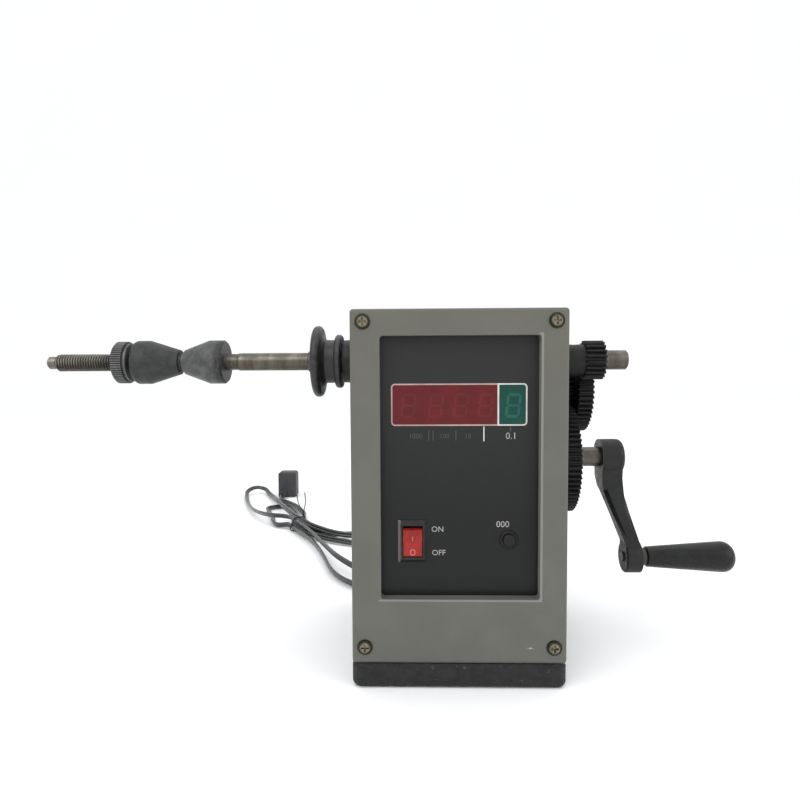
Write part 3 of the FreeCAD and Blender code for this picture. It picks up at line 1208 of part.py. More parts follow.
def make_cord():
    radius = worth("cord_radius")
    hank, tightest = hank_route()
    stations = hank_stations()
    start, end = stations[0], stations[-1]
    lead_points = [Vector(*point) for point in LEAD_POINTS] + [start[0] - start[1] * 12, start[0]]
    plug_points = [end[0], end[0] + end[1] * 11] + [Vector(*point) for point in PLUG_POINTS]
    lead, lead_radii = rounded_route(lead_points)
    tail, tail_radii = rounded_route(plug_points)
    print("lead radii", lead_radii, "plug lead radii", tail_radii, "hank tightest", round(tightest, 1))
    own, away = least_gap(hank, [lead, tail], radius)
    print(f"hank gap to itself {own:.2f}, to the lead's stretches {away:.2f}")
    total = 0.0
    for label, route in (("cord_lead", lead), ("cord_hank", hank), ("plug_lead", tail)):
        solid = tube(route, radius)
        plain = math.pi * radius ** 2 * route.Length
        lowest = min(spot.z for spot in route.discretize(Distance=2)) - radius
        print(f"{label}: {route.Length:.0f} long, lowest {lowest:.2f}")
        print(f"{label}: volume {solid.Volume:.0f} of {plain:.0f}")
        total += route.Length
        solid_piece(label, solid)
    print(f"whole lead {total:.0f}")


def make_tie():
    """Tie round the waist: a narrow band across the strands, a knot and two loose ends."""
    wire = worth("tie_wire_radius")
    snug = worth("cord_radius") + 0.45
    pitch, low, rise = worth("waist_pitch"), worth("waist_low"), worth("waist_rise")
    middle = Vector(worth("tie_x"), worth("tie_y"), 0)
    along = heading(worth("waist_angle"))
    across = heading(worth("waist_angle") - 90)
    hubs = [(-pitch, low), (pitch, low), (pitch / 2, low + rise), (-pitch / 2, low + rise)]

    def spot(shift, level):
        return middle + across * shift + Vector(0, 0, level)

    def block(reach, width):
        """The strands' outline, kept reach away from their centres, as a block centred on the tie."""
        corners = []
        for here, after in zip(hubs, hubs[1:] + hubs[:1]):
            run = math.hypot(after[0] - here[0], after[1] - here[1])
            side = ((after[1] - here[1]) / run * reach, -(after[0] - here[0]) / run * reach)
            corners.append((spot(here[0] + side[0], here[1] + side[1]),
                            spot(after[0] + side[0], after[1] + side[1])))
        edges = []
        for (start, end), (following, _), hub in zip(corners, corners[1:] + corners[:1], hubs[1:] + hubs[:1]):
            centre = spot(*hub)
            peak = centre + ((end + following) * 0.5 - centre).normalize() * reach
            edges.append(Part.makeLine(start, end))
            edges.append(Part.Arc(end, peak, following).toShape())
        made = Part.Face(Part.Wire(edges)).extrude(along * width)
        made.translate(along * (-width / 2))
        return made

    band = block(snug + 2 * wire, 2 * wire).cut(block(snug, 4 * wire))
    knot = spot(pitch / 2 + 1.2, low + rise + snug + wire * 1.9)
    rest = [Part.makeCylinder(wire * 2.2, 4.2, knot - across * 2.1, across)]
    for side, tip in ((-1.1, Vector(-18, 16, 20)), (1.1, Vector(-8, 9, 22))):
        rest.append(Part.makeCylinder(wire * 0.8, tip.Length, knot + across * side, tip))
    solid_piece("hank_tie", band.multiFuse(rest).removeSplitter())


def make_plug():
    """Moulded two-pin plug standing on its end, with the lead leaving low on the near face."""
    body = new_body("plug_body")
    face = new_sketch(body, "plug_face", "XZ_Plane", ("0", "0", "-plug_y - plug_depth"))
    box_outline(face, "plug_x - plug_width / 2", "plug_x + plug_width / 2", "0", "plug_height")
    feature(body, "Pad", "plug_block", face, Length="plug_depth")
    dress(body, "Fillet", "plug_corners", "3.4", lambda edge: upright(edge, 1))
    near, far = worth("plug_y"), worth("plug_y + plug_depth")
    dress(body, "Fillet", "plug_near_edge", "2", lambda edge: at(edge, 1, near))
    dress(body, "Chamfer", "plug_far_edge", "1", lambda edge: at(edge, 1, far))
    tip = LEAD_END
    neck = new_sketch(body, "plug_neck_sketch", "YZ_Plane", (str(tip[1]), str(tip[2]), str(tip[0])))
    reach = f"plug_y - {tip[1]} + 2"
    outline(neck, [("0", "0"), ("0", "cord_radius + 0.7"), (reach, "4.6"), (reach, "0")])
    feature(body, "Revolution", "plug_neck", neck)
    pins = new_body("plug_pins")
    blades = new_sketch(pins, "plug_blades", "XZ_Plane", ("0", "0", "-plug_y - plug_depth - 16"))
    for side in ("-6.35", "6.35"):
        box_outline(blades, f"plug_x + {side} - 0.75", f"plug_x + {side} + 0.75",
                    "plug_height * 0.55 - 3.2", "plug_height * 0.55 + 3.2")
    feature(pins, "Pad", "plug_blade_pair", blades, Length="16")


LEAD_END = PLUG_POINTS[-1]

make_base()
make_frame_screws()
make_frame()
make_bushes("spindle_bushes", SPINDLE, "spindle_boss_end", "-spindle_boss_end")
make_bushes("crank_bushes", CRANK, "crank_boss_end", "-(frame_width / 2 - 2)")
make_front_cover()
make_rear_cover()
make_cover_screws("front_cover_screws", 1)
make_cover_screws("rear_cover_screws", -1)
make_panel()
make_displays()
make_board()
make_switch()
make_rocker()
make_button()
make_power_supply()
make_sensor()
make_gears()
make_spindle()
make_cones()
make_nut()
make_hand_wheel()
make_collars()
make_disc()
make_grub_screws("spindle_grub_screws", SPINDLE, [
    ("(wheel_left + wheel_rim + wheel_right - wheel_small_rim) / 2 + 1", "shaft_radius",
     "wheel_groove_radius - 0.5"),
    ("(pinion_hub_left + pinion_left) / 2", "shaft_radius", "pinion_hub_radius - 0.2")], "grub_radius")
make_idler_fittings()
make_crank_shaft()
make_crank_arm()
make_grub_screws("crank_grub_screw", CRANK, [
    ("crank_hub_left + 6.5", "shaft_radius", "crank_hub_radius - 0.4")], "grub_radius")
make_grip()
make_gland()
make_cord()
make_tie()
make_plug()
doc.recompute()

NODES = [
    "base_casting", "frame_screws", "frame_casting", "spindle_bushes", "crank_bushes", "front_cover",
    "rear_cover", "front_cover_screws", "rear_cover_screws", "control_panel", "counter_window",
    "preset_window", "counter_digits", "preset_digit", "counter_board", "board_spacers", "switch_body",
    "switch_rocker", "button_body", "reset_button", "transformer_core", "transformer_coil",
    "sensor_bracket", "count_sensor", "spindle_pinion", "idler_gear", "crank_gear", "spindle",
    "inner_cone", "outer_cone", "clamp_nut", "hand_wheel", "spindle_collars", "count_disc",
    "spindle_grub_screws", "idler_stud", "idler_bush", "idler_ring", "crank_shaft", "crank_arm",
    "crank_grub_screw", "grip_pin", "grip", "cord_gland", "cord_lead", "cord_hank", "plug_lead",
    "hank_tie", "plug_body", "plug_pins",
]


def check_and_export():
    for item in doc.Objects:
        if "Invalid" in item.State or "Error" in item.State:
            raise RuntimeError(f"{item.Label} is {item.State}")
    shapes = {}
    for label in NODES:
        found = doc.getObjectsByLabel(label)
        if len(found) != 1:
            raise RuntimeError(f"{len(found)} objects are labelled {label}")
        shape = found[0].Shape
        if shape.isNull() or not shape.isValid() or not shape.Solids:
            raise RuntimeError(f"{label} has no valid solid")
        shapes[label] = shape
    os.makedirs("parts", exist_ok=True)
    for label, shape in shapes.items():
        shape.exportStep(f"parts/{label}.step")
    print(f"{len(shapes)} nodes, {sum(len(shape.Solids) for shape in shapes.values())} solids")


check_and_export()
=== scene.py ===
"""Hand-cranked coil winding machine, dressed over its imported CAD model.

Everything is in metres in the model's own frame: +X runs along the spindle towards the crank, +Y
from the control panel to the back, and +Z up from the bench. Sizes that belong to the CAD are read
from its nodes where they can be, and otherwise repeated from the part's source in millimetres.
"""
import math

import bmesh
import bpy
from bpy.props import FloatProperty, FloatVectorProperty, IntProperty, PointerProperty
from mathutils import Matrix, Vector


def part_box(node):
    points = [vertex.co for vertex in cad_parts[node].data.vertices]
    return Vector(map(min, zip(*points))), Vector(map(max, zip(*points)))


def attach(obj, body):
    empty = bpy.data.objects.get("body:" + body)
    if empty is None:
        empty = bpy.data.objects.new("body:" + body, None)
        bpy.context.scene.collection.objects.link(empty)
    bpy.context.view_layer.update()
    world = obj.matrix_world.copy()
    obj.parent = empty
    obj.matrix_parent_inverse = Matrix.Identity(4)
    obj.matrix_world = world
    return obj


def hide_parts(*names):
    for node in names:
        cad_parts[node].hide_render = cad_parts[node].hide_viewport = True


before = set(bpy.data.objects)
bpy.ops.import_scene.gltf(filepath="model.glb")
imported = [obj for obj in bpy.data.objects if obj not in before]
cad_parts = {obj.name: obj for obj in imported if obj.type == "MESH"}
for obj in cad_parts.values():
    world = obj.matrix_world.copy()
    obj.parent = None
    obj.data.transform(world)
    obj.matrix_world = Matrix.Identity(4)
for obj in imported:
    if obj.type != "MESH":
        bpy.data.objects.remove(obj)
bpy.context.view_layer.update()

bl_info = {
    "name": "Coil Winding Machine",
    "version": (1, 0, 0),
    "blender": (4, 5, 0),
    "location": "View3D > Sidebar > Winder",
    "description": "Finishes, thread, knurl, printing, mains lead and studio of a coil winder",
    "category": "Add Mesh",
}

MM = 0.001


def middle_of(node):
    low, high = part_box(node)
    return (low + high) / 2


SPINDLE = middle_of("clamp_nut")
PANEL_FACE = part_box("control_panel")[0].y
WINDOW_LOW, WINDOW_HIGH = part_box("counter_window")[0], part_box("preset_window")[1]
THREAD_START, THREAD_END, RELIEF_END, STEP_FACE = -228.0, -130.2, -122.6, -82.8


# Settings that a user may change.

def length(name, description, size):
    return FloatProperty(
        name=name, description=description, default=size * MM, min=0.0, unit="LENGTH")


def colour(name, description, red, green, blue):
    return FloatVectorProperty(
        name=name, description=description, default=(red, green, blue), size=3, min=0.0, max=1.0,
        subtype="COLOR")


def slant(name, description, degrees):
    return FloatProperty(
        name=name, description=description, default=math.radians(degrees), subtype="ANGLE")


def power(name, description, watts):
    return FloatProperty(name=name, description=description, default=watts, subtype="POWER")


class WinderSizes(bpy.types.PropertyGroup):
    thread_pitch: length("Thread pitch", "Pitch of the M10 thread on the spindle's nose", 1.5)
    thread_depth: length("Thread depth", "Crest to root of the thread", 0.85)
    knurl_depth: length("Knurl depth", "Depth of the straight knurl on the clamp nut", 0.45)
    knurl_count: IntProperty(
        name="Knurl ridges", description="Ridges round the clamp nut", default=56, min=12, max=120)
    frame_line: length("Window outline", "Width of the white outline round the displays", 0.75)
    numeral_height: length("Numeral height", "Height of a seven-segment numeral", 12.7)
    segment_width: length("Segment width", "Width of a numeral's segment", 1.5)
    numeral_slant: slant("Numeral slant", "Lean of the numerals", 7)
    print_height: length("Print height", "Height of the figures printed on the panel", 3.3)
    print_depth: length("Print thickness", "Thickness of the screen printing", 0.05)
    cord_diameter: length("Lead width", "Width of the flat two-core lead", 5.6)
    core_diameter: length("Core diameter", "Diameter of each insulated core of the lead", 2.95)
    cord_length: length("Lead length", "Real length of the mains lead", 2200)
    tie_wire: length("Tie wire", "Diameter of the twisted tie", 1.1)


class WinderFinish(bpy.types.PropertyGroup):
    enamel: colour("Enamel", "Grey enamel of the covers", 0.106, 0.107, 0.093)
    paint: colour("Black paint", "Paint on the castings", 0.0125, 0.0125, 0.013)
    casting: colour("Bare casting", "Metal where the paint is chipped", 0.17, 0.165, 0.15)
    # painted light: the panel gets a lit colour at its top and a shaded colour at its bottom
    panel_top_lit: colour("Panel, top", "Control panel at its upper edge", 0.0160, 0.0165, 0.0155)
    panel_bottom_shaded: colour("Panel, bottom", "Control panel at its lower edge", 0.0060, 0.0062, 0.0066)
    red_window: colour("Counter window", "Red window of the counter", 0.090, 0.0055, 0.0075)
    green_window: colour("Preset window", "Green window beside the counter", 0.001, 0.042, 0.032)
    rocker: colour("Rocker", "Red plastic of the switch rocker", 0.275, 0.0155, 0.0125)
    black_plastic: colour("Black plastic", "Switch, button and grip", 0.0085, 0.0085, 0.0083)
    blackened: colour("Blackened steel", "Gears, cones, nut and hand wheel", 0.050, 0.050, 0.050)
    steel: colour("Ground steel", "Spindle and crank shaft", 0.112, 0.104, 0.086)
    lead: colour("Mains lead", "Sheath of the mains lead", 0.046, 0.046, 0.048)
    printing: colour("Printing", "White screen printing", 0.50, 0.49, 0.47)
    wear: FloatProperty(
        name="Wear", description="How much of the castings' paint is chipped", default=0.5,
        min=0.0, max=1.0, subtype="FACTOR")


class WinderStudio(bpy.types.PropertyGroup):
    camera_place: FloatVectorProperty(
        name="Camera", description="Where the camera stands", subtype="TRANSLATION", unit="LENGTH",
        default=(-0.0226, -0.3712, 0.1655))
    camera_yaw: slant("Yaw", "Turn of the camera to its left", 1.318)
    camera_pitch: slant("Pitch", "How far the camera looks down", 3.09)
    camera_roll: slant("Roll", "Lean of the camera", 0.30)
    lens: FloatProperty(
        name="Lens", description="Focal length in millimetres", default=27.9,
        subtype="DISTANCE_CAMERA")
    floor: colour("Floor", "Pale paper sweep", 0.93, 0.93, 0.93)
    daylight: FloatProperty(
        name="Daylight", description="Strength of the light from all round", default=1.12, min=0.0)
    key_power: power("Key light", "Power of the main soft box", 5.5)
    fill_power: power("Fill light", "Power of each soft box from the right and from above", 2.6)


def settings():
    scene = bpy.context.scene
    return scene.winder_sizes, scene.winder_finish, scene.winder_studio


# Finishes.

class Shading:
    """A new material, with short calls for the nodes that the finishes share, in metres."""

    def __init__(self, name, metal=0.0, rough=0.5, shine=0.25):
        self.material = bpy.data.materials.new(name)
        self.material.use_nodes = True
        self.tree = self.material.node_tree
        self.shader = self.tree.nodes["Principled BSDF"]
        self.shader.inputs["Metallic"].default_value = metal
        self.shader.inputs["Roughness"].default_value = rough
        self.shader.inputs["Specular IOR Level"].default_value = shine
        self.place = self.add("ShaderNodeTexCoord").outputs["Object"]

    def add(self, kind, **options):
        node = self.tree.nodes.new(kind)
        for key, value in options.items():
            setattr(node, key, value)
        return node

    def feed(self, socket, value):
        if isinstance(value, bpy.types.NodeSocket):
            self.tree.links.new(value, socket)
        elif hasattr(value, "__len__") and len(value) == 3 and socket.type == "RGBA":
            socket.default_value = (*value, 1.0)
        else:
            socket.default_value = value

    def surface(self, socket, value):
        self.feed(self.shader.inputs[socket], value)

    def stretched(self, x, y, z):
        node = self.add("ShaderNodeMapping")
        self.feed(node.inputs["Vector"], self.place)
        self.feed(node.inputs["Scale"], (x, y, z))
        return node.outputs["Vector"]

    def noise(self, grain, detail=3.0, rough=0.55, where=None):
        """Cloudy noise whose patches are about grain across."""
        node = self.add("ShaderNodeTexNoise")
        self.feed(node.inputs["Vector"], where or self.place)
        self.feed(node.inputs["Scale"], 1.0 / grain)
        self.feed(node.inputs["Detail"], detail)
        self.feed(node.inputs["Roughness"], rough)
        return node.outputs["Fac"]

    def along(self, letter):
        node = self.add("ShaderNodeSeparateXYZ")
        self.feed(node.inputs["Vector"], self.place)
        return node.outputs[letter]

    def sums(self, operation, first, second=0.0):
        node = self.add("ShaderNodeMath", operation=operation)
        self.feed(node.inputs[0], first)
        self.feed(node.inputs[1], second)
        return node.outputs["Value"]

    def times(self, first, second):
        return self.sums("MULTIPLY", first, second)

    def away(self, letter, place):
        """Distance from the plane that crosses an axis at place."""
        return self.sums("ABSOLUTE", self.sums("SUBTRACT", self.along(letter), place))

    def from_axis(self, first, second, letters="YZ"):
        """Distance from a line along the spindle, or across it when the letters say so."""
        sides = [self.sums("SUBTRACT", self.along(letter), place)
                 for letter, place in zip(letters, (first, second))]
        squares = [self.times(side, side) for side in sides]
        return self.sums("SQRT", self.sums("ADD", *squares))

    def ramp(self, value, low, high, first=0.0, second=1.0):
        """The value carried from low..high to first..second, held outside them."""
        node = self.add("ShaderNodeMapRange", interpolation_type="SMOOTHSTEP")
        for name, amount in (("Value", value), ("From Min", low), ("From Max", high),
                             ("To Min", first), ("To Max", second)):
            self.feed(node.inputs[name], amount)
        return node.outputs["Result"]

    def blend(self, share, first, second):
        node = self.add("ShaderNodeMix", data_type="RGBA")
        self.feed(node.inputs["Factor"], share)
        self.feed(node.inputs[6], first)
        self.feed(node.inputs[7], second)
        return node.outputs[2]

    def bump(self, height, depth):
        """Relief of this depth; further calls add to it."""
        node = self.add("ShaderNodeBump")
        self.feed(node.inputs["Distance"], depth)
        self.feed(node.inputs["Height"], height)
        before = self.shader.inputs["Normal"]
        if before.is_linked:
            self.feed(node.inputs["Normal"], before.links[0].from_socket)
        self.surface("Normal", node.outputs["Normal"])


def shade(tint, share):
    return tuple(channel * share for channel in tint)


# marks on the front cover, in millimetres across and up: an old scratch, and the middle and half
# size of the panel's opening, whose right and lower edges get a painted highlight
SCRATCH = (36.2, 21.2)
OPENING_MIDDLE, OPENING_HALF = (0.5, 113.75), (40.5, 67.25)


def grey_enamel(finish):
    """Sprayed enamel with fine orange peel and faint grime towards the top.

    The front cover alone has one old scratch, and a painted highlight on the right and lower edges
    of the panel's opening, a pale line where those edges catch the light.
    """
    made = Shading("grey_enamel", rough=0.55)
    clouds = made.noise(28 * MM, 4)
    tint = made.blend(made.ramp(clouds, 0.35, 0.7), shade(finish.enamel, 0.94),
                      shade(finish.enamel, 1.05))
    grime = made.ramp(made.along("Z"), 60 * MM, 200 * MM, 0.0, 0.35)
    tint = made.blend(grime, tint, (0.112, 0.108, 0.084))
    across, up = [made.away(letter, place * MM) for letter, place in zip("XZ", SCRATCH)]
    reach = made.sums("ADD", made.times(across, 0.35), made.times(up, 1.6))
    ragged = made.sums("ADD", reach, made.times(made.noise(1.2 * MM), 1.6 * MM))
    scratch = made.ramp(ragged, 1.2 * MM, 1.8 * MM, 1.0, 0.0)
    specks = made.ramp(made.noise(1.1 * MM, 2), 0.74, 0.78)
    tint = made.blend(made.times(specks, 0.35), tint, (0.045, 0.045, 0.038))
    facing = made.ramp(made.along("Y"), -10 * MM, 0.0, 1.0, 0.0)
    tint = made.blend(made.times(scratch, facing), tint, (0.30, 0.30, 0.285))
    # painted highlight: a pale line along the opening's right and lower edges, where they catch the
    # light
    beyond = [made.sums("SUBTRACT", made.away(letter, middle * MM), half * MM)
              for letter, middle, half in zip("XZ", OPENING_MIDDLE, OPENING_HALF)]
    from_line = made.sums("SUBTRACT", made.sums("MAXIMUM", *beyond), 0.5 * MM)
    line = made.ramp(made.sums("ABSOLUTE", from_line), 0.3 * MM, 0.9 * MM, 0.55, 0.0)
    lit = made.sums("MAXIMUM", made.ramp(made.along("X"), 39 * MM, 41 * MM),
                    made.ramp(made.along("Z"), 46 * MM, 46.6 * MM, 1.0, 0.0))
    wear_and_highlight = made.times(made.times(line, lit), facing)
    made.surface("Base Color", made.blend(wear_and_highlight, tint, (0.26, 0.26, 0.245)))
    made.surface("Roughness", made.ramp(clouds, 0.3, 0.7, 0.48, 0.60))
    made.bump(made.noise(0.9 * MM, 2), 0.05 * MM)
    return made.material


def edge_share(made, low, high, reach):
    """Nearness to the edges of a block, 0 to 1."""
    shares = []
    for letter, first, last in zip("XYZ", low, high):
        place = made.along(letter)
        near = made.sums("MINIMUM", made.sums("SUBTRACT", place, first),
                         made.sums("SUBTRACT", last, place))
        shares.append(made.ramp(near, 0.0, reach, 1.0, 0.0))
    pairs = [made.times(shares[one], shares[two]) for one, two in ((0, 1), (0, 2), (1, 2))]
    return made.sums("MAXIMUM", made.sums("MAXIMUM", pairs[0], pairs[1]), pairs[2])


def rough_casting(finish):
    """Sand casting under thick black paint, chipped along its edges and scuffed on its sides."""
    made = Shading("rough_casting", rough=0.6)
    lumps = made.noise(5 * MM, 5, 0.65)
    grit = made.noise(0.8 * MM, 3, 0.6)
    edges = edge_share(made, *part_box("base_casting"), 5 * MM)
    flakes = made.sums("ADD", made.noise(2.2 * MM, 6, 0.7, made.stretched(0.6, 0.6, 1.3)),
                       made.times(edges, 0.05 + 0.04 * finish.wear))
    chips = made.ramp(flakes, 0.655, 0.71, 0.0, 0.8)
    tint = made.blend(made.ramp(lumps, 0.35, 0.75), shade(finish.paint, 0.8),
                      shade(finish.paint, 1.9))
    dust = made.ramp(made.noise(1.6 * MM, 5, 0.7), 0.58, 0.72, 0.0, 0.32)
    tint = made.blend(dust, tint, (0.062, 0.061, 0.057))
    made.surface("Base Color", made.blend(chips, tint, shade(finish.casting, 0.8)))
    made.surface("Roughness", made.ramp(lumps, 0.3, 0.8, 0.42, 0.72))
    made.bump(lumps, 1.5 * MM)
    made.bump(grit, 0.4 * MM)
    made.bump(chips, -0.08 * MM)
    return made.material


def painted_casting(finish, name="painted_casting"):
    """Smoother cast wall or arm under satin black paint, with small chips, as a Shading."""
    made = Shading(name, rough=0.45)
    lumps = made.noise(3.2 * MM, 4, 0.6)
    chips = made.ramp(made.noise(1.5 * MM, 5, 0.7), 0.75 - 0.04 * finish.wear, 0.78)
    tint = made.blend(made.ramp(made.noise(14 * MM), 0.3, 0.7), shade(finish.paint, 0.8),
                      shade(finish.paint, 1.35))
    made.surface("Base Color", made.blend(made.times(chips, 0.55), tint, finish.casting))
    made.surface("Roughness", made.ramp(lumps, 0.3, 0.7, 0.36, 0.55))
    made.bump(lumps, 0.32 * MM)
    made.bump(made.noise(0.6 * MM, 2), 0.06 * MM)
    return made


def cast_arm(finish):
    """The crank's casting, with its machined hub face left bright and its edges rubbed."""
    made = painted_casting(finish, "cast_arm")
    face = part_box("crank_arm")[0].x
    bright = made.ramp(made.along("X"), face + 0.05 * MM, face + 0.35 * MM, 1.0, 0.0)
    painted = made.shader.inputs["Base Color"].links[0].from_socket
    wear_and_light = made.ramp(made.noise(2.4 * MM, 6, 0.72), 0.60, 0.70, 0.0, 0.35)
    painted = made.blend(wear_and_light, painted, (0.050, 0.049, 0.046))
    made.surface("Base Color", made.blend(bright, painted, shade(finish.steel, 0.75)))
    made.surface("Metallic", made.times(bright, 0.9))
    return made.material


def panel_black(finish):
    """Black printed panel, painted paler at the top where light falls, fine grain, a few hairlines.
    """
    made = Shading("panel_black", rough=0.42)
    low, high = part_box("control_panel")
    # painted light: paler towards the top, where more light falls on the panel
    rise = made.ramp(made.along("Z"), low.z + 30 * MM, high.z - 20 * MM)
    tint = made.blend(rise, finish.panel_bottom_shaded, finish.panel_top_lit)
    dust = made.ramp(made.noise(1.0 * MM, 3), 0.68, 0.76, 0.0, 0.12)
    made.surface("Base Color", made.blend(dust, tint, (0.07, 0.07, 0.07)))
    hairs = made.noise(0.9 * MM, 3, 0.6, made.stretched(0.05, 1.0, 1.0))
    made.surface("Roughness", made.ramp(hairs, 0.3, 0.8, 0.38, 0.50))
    made.bump(made.noise(0.35 * MM, 2), 0.012 * MM)
    return made.material


def display_window(name, tint):
    """Tinted acrylic over the numeral modules, a little uneven, with a soft gloss."""
    made = Shading(name, rough=0.32)
    clouds = made.noise(9 * MM, 3)
    grain = made.noise(1.4 * MM, 2)
    deep = made.blend(made.ramp(clouds, 0.3, 0.7), shade(tint, 0.86), shade(tint, 1.12))
    made.surface("Base Color", made.blend(
        made.ramp(grain, 0.4, 0.75, 0.0, 0.10), deep, shade(tint, 1.5)))
    made.surface("Roughness", made.ramp(grain, 0.3, 0.7, 0.28, 0.38))
    made.bump(grain, 0.006 * MM)
    return made.material


def moulded_plastic(name, tint, rough, grain=0.5, dusty=0.15, shine=0.25):
    """Moulded plastic: spark-eroded grain, slight gloss changes and dust in the hollows."""
    made = Shading(name, rough=rough, shine=shine)
    clouds = made.noise(7 * MM, 4)
    dust = made.ramp(made.noise(1.3 * MM, 4, 0.65), 0.62, 0.78, 0.0, dusty)
    body = made.blend(made.ramp(clouds, 0.3, 0.7), shade(tint, 0.85), shade(tint, 1.15))
    dusted = tuple(0.75 * channel + 0.028 for channel in tint)
    made.surface("Base Color", made.blend(dust, body, dusted))
    made.surface("Roughness", made.ramp(clouds, 0.3, 0.75, rough - 0.06, rough + 0.08))
    made.bump(made.noise(grain * MM, 2), 0.02 * MM)
    return made.material


def turned_metal(name, tint, rough, axis="X", metal=1.0):
    """Turned or ground metal: fine tool lines round its axis, stains and rubbed places."""
    made = Shading(name, metal=metal, rough=rough)
    places = {"X": (1.0, 0.04, 0.04), "Y": (0.04, 1.0, 0.04)}[axis]
    marks = made.noise(0.20 * MM, 3, 0.7, made.stretched(*places))
    clouds = made.noise(6 * MM, 5, 0.65)
    body = made.blend(made.ramp(marks, 0.35, 0.7), shade(tint, 0.80), shade(tint, 1.12))
    stained = made.ramp(clouds, 0.50, 0.78, 0.0, 0.45)
    made.surface("Base Color", made.blend(stained, body, (0.060, 0.046, 0.032)))
    made.surface("Roughness", made.ramp(clouds, 0.3, 0.75, rough - 0.07, rough + 0.14))
    made.bump(marks, 0.02 * MM)
    return made.material


def spindle_steel(finish):
    """Old ground steel, browned and banded along its length; dirt and painted shade darken the
    thread's roots.

    It is brighter on the thread, and has painted shade along its lower side.
    """
    made = Shading("spindle_steel", metal=1.0, rough=0.34)
    marks = made.noise(0.25 * MM, 3, 0.7, made.stretched(1.0, 0.04, 0.04))
    bands = made.noise(7 * MM, 2, 0.5, made.stretched(1.0, 0.25, 0.25))
    clouds = made.noise(5 * MM, 5, 0.65)
    body = made.blend(made.ramp(marks, 0.35, 0.7), shade(finish.steel, 0.72),
                      shade(finish.steel, 1.25))
    body = made.blend(made.ramp(bands, 0.42, 0.66, 0.0, 0.5), body, shade(finish.steel, 1.9))
    place = made.along("X")
    on_thread = made.ramp(place, -129 * MM, -128 * MM, 1.0, 0.0)
    body = made.blend(made.times(on_thread, 0.75), body, (0.24, 0.225, 0.205))
    body = made.blend(made.ramp(clouds, 0.48, 0.72, 0.0, 0.6), body, (0.050, 0.037, 0.025))
    # painted shade along the bar's lower side, below its axis
    half_band = 1.5 * MM
    shaded_underside = made.ramp(made.along("Z"), SPINDLE.z - half_band, SPINDLE.z + half_band, 0.45, 0.0)
    body = made.blend(shaded_underside, body, (0.040, 0.034, 0.022))
    # the thread's roots are darkened nearly black, partly dirt and partly painted shade in the
    # hollows
    nose = made.times(made.ramp(place, THREAD_START * MM, (THREAD_START + 1) * MM),
                      made.ramp(place, -121.5 * MM, -121 * MM, 1, 0))
    roots = made.ramp(made.from_axis(SPINDLE.y, SPINDLE.z), 4.1 * MM, 4.65 * MM, 0.85, 0.0)
    dirt_and_shade = made.times(nose, roots)
    made.surface("Base Color", made.blend(dirt_and_shade, body, (0.012, 0.010, 0.008)))
    made.surface("Metallic", made.ramp(dirt_and_shade, 0.0, 1.0, 1.0, 0.3))
    made.surface("Roughness", made.ramp(clouds, 0.3, 0.75, 0.27, 0.48))
    made.bump(marks, 0.02 * MM)
    return made.material


def blackened_steel(finish, name, rough, wear_and_highlight, share, root=0.0, crest=0.0):
    """Blackened steel with a dull oil sheen, paler where it is rubbed.

    When two radii are given, dirt and painted shade darken the hollows between them.
    """
    made = Shading(name, metal=0.55, rough=rough)
    clouds = made.noise(5 * MM, 5, 0.62)
    wear_and_light = made.ramp(made.noise(1.7 * MM, 6, 0.7), 0.58, 0.76, 0.0, wear_and_highlight)
    body = made.blend(made.ramp(clouds, 0.3, 0.72), shade(finish.blackened, 0.75 * share),
                      shade(finish.blackened, 1.25 * share))
    # dirt and painted shade in the hollows between the two radii, as on the nut's knurl
    if crest:
        radius = made.from_axis(SPINDLE.y, SPINDLE.z)
        dirt_and_shade = made.ramp(radius, root, crest, 1.0, 0.0)
        outside = made.ramp(radius, root - 0.3 * MM, root - 0.1 * MM)
        body = made.blend(made.times(dirt_and_shade, outside), body, (0.009, 0.009, 0.009))
    made.surface("Base Color", made.blend(wear_and_light, body, (0.125, 0.121, 0.113)))
    made.surface("Roughness", made.ramp(clouds, 0.3, 0.75, rough - 0.07, rough + 0.12))
    made.bump(made.noise(0.5 * MM, 3, 0.6, made.stretched(1.0, 0.15, 0.15)), 0.03 * MM)
    made.bump(clouds, 0.03 * MM)
    return made.material


def zinc_screws():
    """Zinc-plated cover screws, dark brown round the edge of each head with rust and painted shade.
    """
    made = Shading("zinc_screws", metal=0.8, rough=0.45)
    across, low, high = 48.4 * MM, 21.5 * MM, 188.0 * MM
    spots = [made.from_axis(side * across, level, "XZ")
             for side in (-1, 1) for level in (low, high)]
    reach = spots[0]
    for spot in spots[1:]:
        reach = made.sums("MINIMUM", reach, spot)
    # rust and painted shade darken a ring round the edge of each head
    rough_edge = made.sums("ADD", reach, made.times(made.noise(0.9 * MM, 4), 0.8 * MM))
    dirt_and_shade = made.ramp(rough_edge, 2.5 * MM, 3.4 * MM)
    clean = made.blend(made.ramp(made.noise(1.2 * MM, 4), 0.35, 0.65), (0.135, 0.118, 0.080),
                       (0.235, 0.212, 0.155))
    made.surface("Base Color", made.blend(dirt_and_shade, clean, (0.026, 0.022, 0.012)))
    made.surface("Metallic", made.ramp(dirt_and_shade, 0.0, 1.0, 0.8, 0.2))
    made.surface("Roughness", made.ramp(dirt_and_shade, 0.0, 1.0, 0.40, 0.75))
    made.bump(made.noise(0.5 * MM, 3), 0.04 * MM)
    return made.material


def steel_stack():
    """The transformer's stacked plates, seen as fine lines across its depth."""
    made = Shading("steel_stack", metal=0.7, rough=0.5)
    plates = made.noise(0.7 * MM, 1, 0.5, made.stretched(0.02, 1.0, 0.02))
    made.surface("Base Color", made.blend(
        made.ramp(plates, 0.4, 0.6), (0.05, 0.05, 0.052), (0.15, 0.145, 0.14)))
    made.bump(plates, 0.08 * MM)
    return made.material


